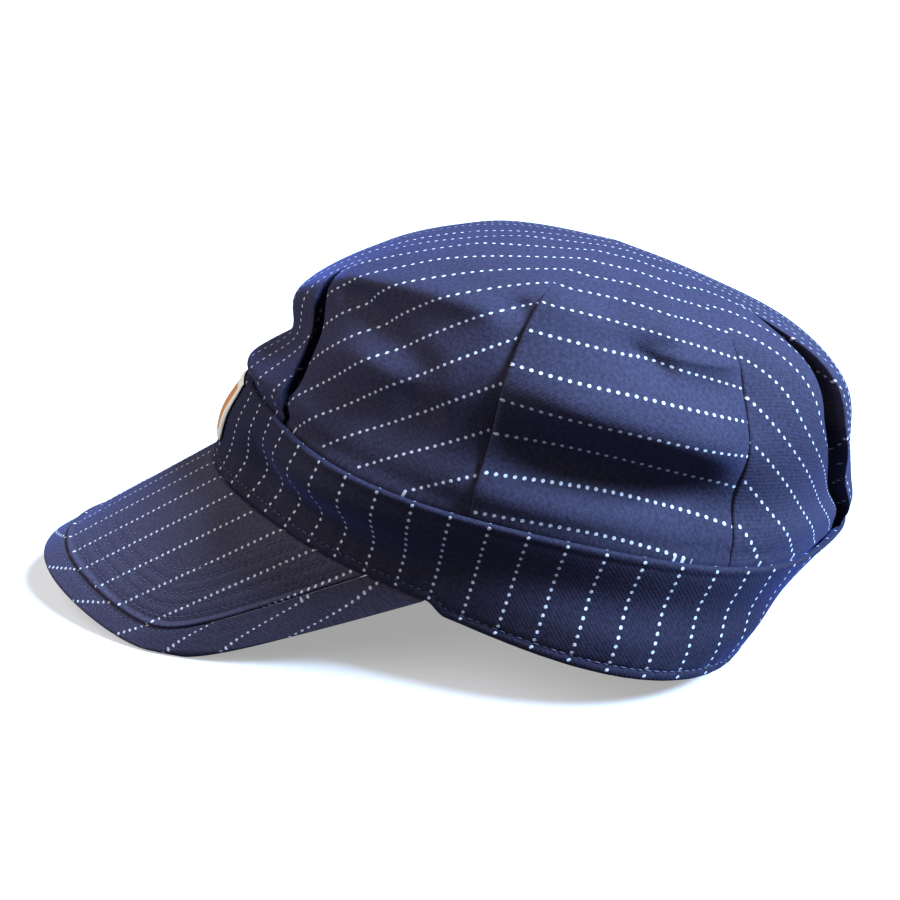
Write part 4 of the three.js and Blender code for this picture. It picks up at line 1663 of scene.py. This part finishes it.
    def panel(self, finish: Material) -> Object:
        """Builds and dresses the quilted panel.

        Args:
            finish: The cloth's material.

        Returns:
            The finished piece, which stands for the CAD node.
        """
        corner = self.border.corner - self.gap - 0.25
        arc = corner * np.sin(np.linspace(-1, 1, self.columns) * math.pi / 2)
        reach = np.maximum(self.border.reach(arc, self.gap / 3), 2.2 * self.gap)
        width = (reach - self.gap)[:, None]
        length = self.gap + width * np.linspace(0, 1, self.panel_rows)
        inset = self.inset_at(arc, length)
        depth, *reach = self.panel_edge
        round_edge = depth * (1 - smooth(inset, *reach))
        upper = self.point(arc[:, None], length, round_edge - self.quilting(inset, length))
        lower_length = self.gap + width * np.linspace(1, 0, 14)
        lower = self.point(arc[:, None], lower_length, self.wall)
        flats = self.flat_cloth(arc, length), self.flat_cloth(arc, lower_length)
        lip = self.lip(arc, np.full_like(arc, self.gap), np.ones_like(arc))
        made = self.joined("peak_panel_cloth", finish, (upper, lower, lip), flats)
        return settle(made, "peak_panel")

    def rim(self, finish: Material) -> Object:
        """Builds and dresses the border along the peak's edge.

        Args:
            finish: The cloth's material.

        Returns:
            The finished piece, which stands for the CAD node.
        """
        corner = self.edge.corner - 0.3
        arc = corner * np.sin(np.linspace(-1, 1, self.columns + 40) * math.pi / 2)
        inner = self.inner_reach(arc)
        width = (self.edge.reach(arc) - inner)[:, None]
        share = np.linspace(0, 1, self.border_rows)
        length = inner[:, None] + width * share
        from_inner, from_outer = share * width, (1 - share) * width
        dip = bells(from_inner, self.border_dips)
        drop, reach = self.border_roll
        to_round = 1 - np.clip(from_outer / reach, 0, 1)
        roll = drop * (1 - np.sqrt(np.clip(1 - to_round**2, 0, 1)))
        upper = self.point(arc[:, None], length, dip + roll - self.border_proud)
        lower_share = np.linspace(1, 0, 8)
        lower_length = inner[:, None] + width * lower_share
        drop, reach = self.underside_roll
        lower_roll = drop * (1 - smooth((1 - lower_share) * width, 0, reach))
        lower = self.point(arc[:, None], lower_length, self.wall - lower_roll)
        flats = (
            self.border_flat(arc, share, length), self.border_flat(arc, lower_share, lower_length)
        )
        corner = self.border.corner
        lip = self.lip(arc, inner, smooth(np.abs(arc), corner + 0.5, corner + 1.5))
        made = self.joined("peak_border_cloth", finish, (upper, lower, lip), flats)
        return settle(made, "peak_border")

    def lip(self, arc: np.ndarray, start: np.ndarray, share: np.ndarray) -> np.ndarray:
        """Seam allowance behind the band's lower edge, so that no light comes through.

        Args:
            arc: Each column's arc.
            start: Where each column's cloth starts along its ruling.
            share: How much of the allowance each column has, from 0 to 1.

        Returns:
            Three rows a column, after the lower face's last.
        """
        up = (start - self.allowance * share)[:, None]
        length = np.concatenate([up, up, start[:, None]], 1)
        depths = self.wall - np.array([0, self.allowance_wall, self.allowance_wall])
        return self.point(arc[:, None], length, depths)

    def border_flat(self, arc: np.ndarray, share: np.ndarray, length: np.ndarray) -> np.ndarray:
        """Flat coordinates of the border, whose bias-cut cloth bends round with the edge.

        Args:
            arc: Each column's arc.
            share: Each row's share of the border's width, from its inner line.
            length: Length along the ruling, one a point.

        Returns:
            Flat coordinates, shaped (columns, rows, 2).
        """
        number, inner, outer = np.array(self.border_stripes).T
        at_inner, at_outer = (np.interp(arc, line, number)[:, None] for line in (inner, outer))
        number_at = at_inner * (1 - share) + at_outer * share
        stripes = np.linspace(number[0], number[-1], 400)
        arc_in, arc_out = (np.interp(stripes, number, line) for line in (inner, outer))
        first = self.point(arc_in, self.inner_reach(arc_in), 0)
        last = self.point(arc_out, self.edge.reach(arc_out), 0)
        line, middle = unit(last - first), (first + last) / 2
        steps = np.einsum("sk,sk->s", np.diff(middle, axis=0), (line[1:] + line[:-1]) / 2)
        run = np.concatenate([[0], np.cumsum(steps)])

        def of_stripe(values: np.ndarray) -> np.ndarray:
            """Values of the stripe that runs through each point."""
            return np.stack([np.interp(number_at, stripes, column) for column in values.T], -1)

        beyond = self.point(arc[:, None], length, 0) - of_stripe(middle)
        along = np.einsum("crk,crk->cr", beyond, of_stripe(line)) + of_stripe(run[:, None])[..., 0]
        return np.stack([STRIPE_SPACING * number_at, along], -1)

    def inner_reach(self, arc: np.ndarray) -> np.ndarray:
        """Length of the rulings up to the border's inner line, which runs out at its corners.

        Args:
            arc: Signed arcs of the seam.

        Returns:
            Millimetres.
        """
        beyond = np.abs(arc) >= self.border.corner
        reach = np.maximum(self.border.reach(np.where(beyond, 0, arc)), self.gap)
        return np.where(beyond, self.gap, reach)

    def joined(
        self,
        name: str,
        finish: Material,
        faces_of: tuple[np.ndarray, ...],
        flats: tuple[np.ndarray, np.ndarray],
    ) -> Object:
        """Joins an upper and a lower face and the seam allowance into one closed piece.

        Args:
            name: The piece's name.
            finish: The cloth's material.
            faces_of: Upper face from the seam out, lower face back in, and the seam allowance.
            flats: Flat coordinates of the first two.

        Returns:
            The piece.
        """
        folded_in = np.repeat(flats[1][:, -1:], faces_of[2].shape[1], axis=1)
        flat = np.concatenate([*flats, folded_in], 1)
        return closed_sheet(name, np.concatenate(faces_of, 1), flat, finish)

    def stitch_rows(self) -> tuple[np.ndarray, ...]:
        """Lines of the quilting's rows, each set in from the border's line.

        Returns:
            One line a row.
        """
        lines = []
        for inset in self.row_spacing * np.arange(1, self.row_count + 1):
            arc = self.spread(self.border.corner - inset - 0.5)
            reach = self.border.reach(arc, inset)
            keep = reach > 2.5
            lines.append(self.point(arc[keep], reach[keep], -self.thread_proud))
        return tuple(lines)

    def border_line(self) -> np.ndarray:
        """Line of the topstitch on the border, just outside its inner line.

        Returns:
            Points in the cap's frame.
        """
        arc = self.spread(self.border.corner - 1)
        reach = self.border.reach(arc) + self.border_topstitch
        return self.point(arc, reach, -self.thread_proud)

    @staticmethod
    def spread(limit: float) -> np.ndarray:
        """Arcs of a stitch line from corner to corner, closer together near them."""
        return limit * np.sin(np.linspace(-1, 1, 700) * math.pi / 2)


@dataclass(frozen=True)
class Label:
    """The bare woven label on the front of the band.

    It swells up from its edge, and hem is the height, place and half width of the ridge there.
    """

    width: float = 33.0
    height: float = 22.0
    below_rim: float = 1.6
    stand_off: float = 0.62
    face_proud: float = 0.75
    swell: float = 0.55
    swell_reach: float = 0.9
    hem: tuple[float, float, float] = (0.12, 1.4, 0.7)
    wave: float = 0.14
    columns: int = 60
    rows: int = 40

    def build(self, finish: Material) -> Object:
        """Builds and dresses the label.

        Args:
            finish: The label's material.

        Returns:
            The finished piece, which stands for the CAD node.
        """
        across = np.linspace(-0.5, 0.5, self.columns)[:, None] * self.width
        angle = RIM.angle_at(across)
        down = np.linspace(0, 1, self.rows) * self.height
        level = BAND.height - self.below_rim - down
        from_side, from_end = self.width / 2 - np.abs(across), np.minimum(down, self.height - down)
        from_edge = np.minimum(from_side, from_end)
        swell = self.swell * np.sqrt(np.clip(from_edge / self.swell_reach, 0, 1))
        swell = swell + bells(from_edge, (self.hem,))
        wave = self.wave * np.sin(across * 0.35 + 0.6) * np.cos(down * 0.2)
        face = BAND.point(angle, level, -self.face_proud - swell - wave)
        back = BAND.point(angle, level, np.full_like(swell, -self.stand_off))
        flat = np.stack(np.broadcast_arrays(across, down[None]), -1)
        loop = np.concatenate([face, back[:, ::-1]], 1)
        flats = np.concatenate([flat, flat[:, ::-1]], 1)
        made = closed_sheet("label_cloth", loop, flats, finish)
        return settle(made, "label")


@dataclass(frozen=True)
class Lamp:
    """A wide soft light from far away: where it shines from, how many degrees wide it is."""

    name: str
    towards: tuple[float, float, float]
    width: float
    strength: float
    colour: str


@dataclass(frozen=True)
class Studio:
    """Plain pale floor, soft light from behind on the right, and the photograph's camera."""

    focal_share: float = 783 / 900
    sensor: float = 36.0
    distance: float = 291.0
    elevation: float = math.radians(21.08)
    swing: float = math.radians(1.9)
    roll: float = math.radians(13.4)
    slide: float = -23.3
    lift: float = 15.3
    floor_half: float = 12.0
    paper: str = "#b4b4b5"
    paper_unseen: str = "#55545c"
    paper_glow: float = 0.42
    surroundings: str = "#d9d3e6"
    surroundings_glow: float = 0.05
    gamma: float = 0.85
    lamps: tuple[Lamp, ...] = (
        Lamp("key", (0.18, 0.73, 0.66), 18, 15.5, "#b8d9ff"),
        Lamp("fill", (0.12, -0.68, 0.72), 70, 3.0, "#fbfaff"),
    )

    def camera(self) -> None:
        """Puts the camera at the photograph's place, angle and roll."""
        cos_e, sin_e = math.cos(self.elevation), math.sin(self.elevation)
        cos_s, sin_s = math.cos(self.swing), math.sin(self.swing)
        back = np.array([cos_s * cos_e, -sin_s * cos_e, sin_e])
        right = np.array([sin_s, cos_s, 0.0])
        up = np.cross(back, right)
        up = up if up[2] > 0 else -up
        place = right * self.slide + up * self.lift + back * self.distance
        cos_r, sin_r = math.cos(self.roll), math.sin(self.roll)
        image_right, image_up = cos_r * right + sin_r * up, cos_r * up - sin_r * right
        axes = [POSE.turn_only(axis) for axis in (image_right, image_up, back)]
        location = POSE.turn_only(place) - np.array([0, POSE.middle_y, POSE.floor])
        data = bpy.data.cameras.new("camera")
        data.sensor_width = self.sensor
        data.lens = self.sensor * self.focal_share
        data.clip_start, data.clip_end = 0.01, 60
        camera = placed("camera", data)
        turn = Matrix(np.array(axes).T.tolist()).to_4x4()
        camera.matrix_world = Matrix.Translation(Vector(location * METRES)) @ turn
        bpy.context.scene.camera = camera

    def floor(self) -> None:
        """Makes the floor of matt white paper, which throws less light than the camera sees."""
        mesh = bpy.data.meshes.new("floor")
        far = self.floor_half
        corners = [(-far, -far, 0), (far, -far, 0), (far, far, 0), (-far, far, 0)]
        mesh.from_pydata(corners, [], [(0, 1, 2, 3)])
        material, tree = new_material("matt_white_paper")
        seen = node(tree, "ShaderNodeLightPath").outputs["Is Camera Ray"]
        paper = node(tree, "ShaderNodeBsdfDiffuse", {"Color": linear(self.paper)})
        lit = {"Color": linear("#ffffff"), "Strength": self.paper_glow}
        pale = node(tree, "ShaderNodeAddShader", (paper, node(tree, "ShaderNodeEmission", lit)))
        dim = node(tree, "ShaderNodeBsdfDiffuse", {"Color": linear(self.paper_unseen)})
        mixed = node(tree, "ShaderNodeMixShader", (seen, dim, pale))
        node(tree, "ShaderNodeOutputMaterial", {"Surface": mixed})
        mesh.materials.append(material)
        placed("floor", mesh)

    def light(self) -> None:
        """Sets the soft lights and the pale surroundings."""
        for lamp in self.lamps:
            data = bpy.data.lights.new(lamp.name, "SUN")
            data.angle = math.radians(lamp.width)
            data.energy = lamp.strength
            data.color = linear(lamp.colour)[:3]
            made = placed(lamp.name, data)
            made.rotation_mode = "QUATERNION"
            made.rotation_quaternion = Vector(lamp.towards).to_track_quat("Z", "Y")
        world = bpy.data.worlds.new("studio")
        world.use_nodes = True
        tree = world.node_tree
        tree.nodes.clear()
        seen = node(tree, "ShaderNodeLightPath").outputs["Is Camera Ray"]
        skies = ((self.surroundings, self.surroundings_glow), ("#ffffff", 1.0))
        around, behind = (
            node(tree, "ShaderNodeBackground", (linear(colour), glow)) for colour, glow in skies
        )
        mixed = node(tree, "ShaderNodeMixShader", (seen, around, behind))
        node(tree, "ShaderNodeOutputWorld", {"Surface": mixed})
        scene = bpy.context.scene
        scene.world = world
        scene.view_settings.view_transform = "Standard"
        scene.view_settings.gamma = self.gamma


def main() -> None:
    """Builds the cap piece by piece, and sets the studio."""
    logging.basicConfig(level=logging.INFO, format="%(name)s: %(message)s")
    studio, peak, label = Studio(), Peak(), Label()
    studio.camera()
    studio.floor()
    studio.light()
    twill = "navy_pinstripe_twill_"
    # One twill all over: the band's darker copy is painted shade, and the lighter copy on the peak
    # and its border is painted light.
    band_painted_shade = {"cloth": "#353243", "cloth_deep": "#211e2b"}
    peak_painted_light = {"cloth": "#4f4b5c", "cloth_deep": "#383440"}
    band_twill = PinstripeTwill(twill + "band", phase=BAND.stripe_phase, **band_painted_shade)
    peak_twill = PinstripeTwill(twill + "peak", phase=peak.stripe_phase, **peak_painted_light)
    thread = SewingThread("navy_sewing_thread").material()
    Crown().build(PinstripeTwill(twill + "crown").material())
    BAND.build(band_twill.material())
    peak.panel(peak_twill.material())
    peak.rim(PinstripeTwill(twill + "border", **peak_painted_light).material())
    label.build(LabelWeave("tan_woven_label", label.width, label.height).material())
    StitchRun("band_edge_stitches", (BAND.edge_line(),), "band_cloth").build(thread)
    rows = StitchRun("peak_row_stitches", peak.stitch_rows(), "peak_cloth", peak.row_pitch)
    rows.build(thread)
    StitchRun("peak_border_stitches", (peak.border_line(),), "border_cloth").build(thread)


if __name__ == "__main__":
    main()
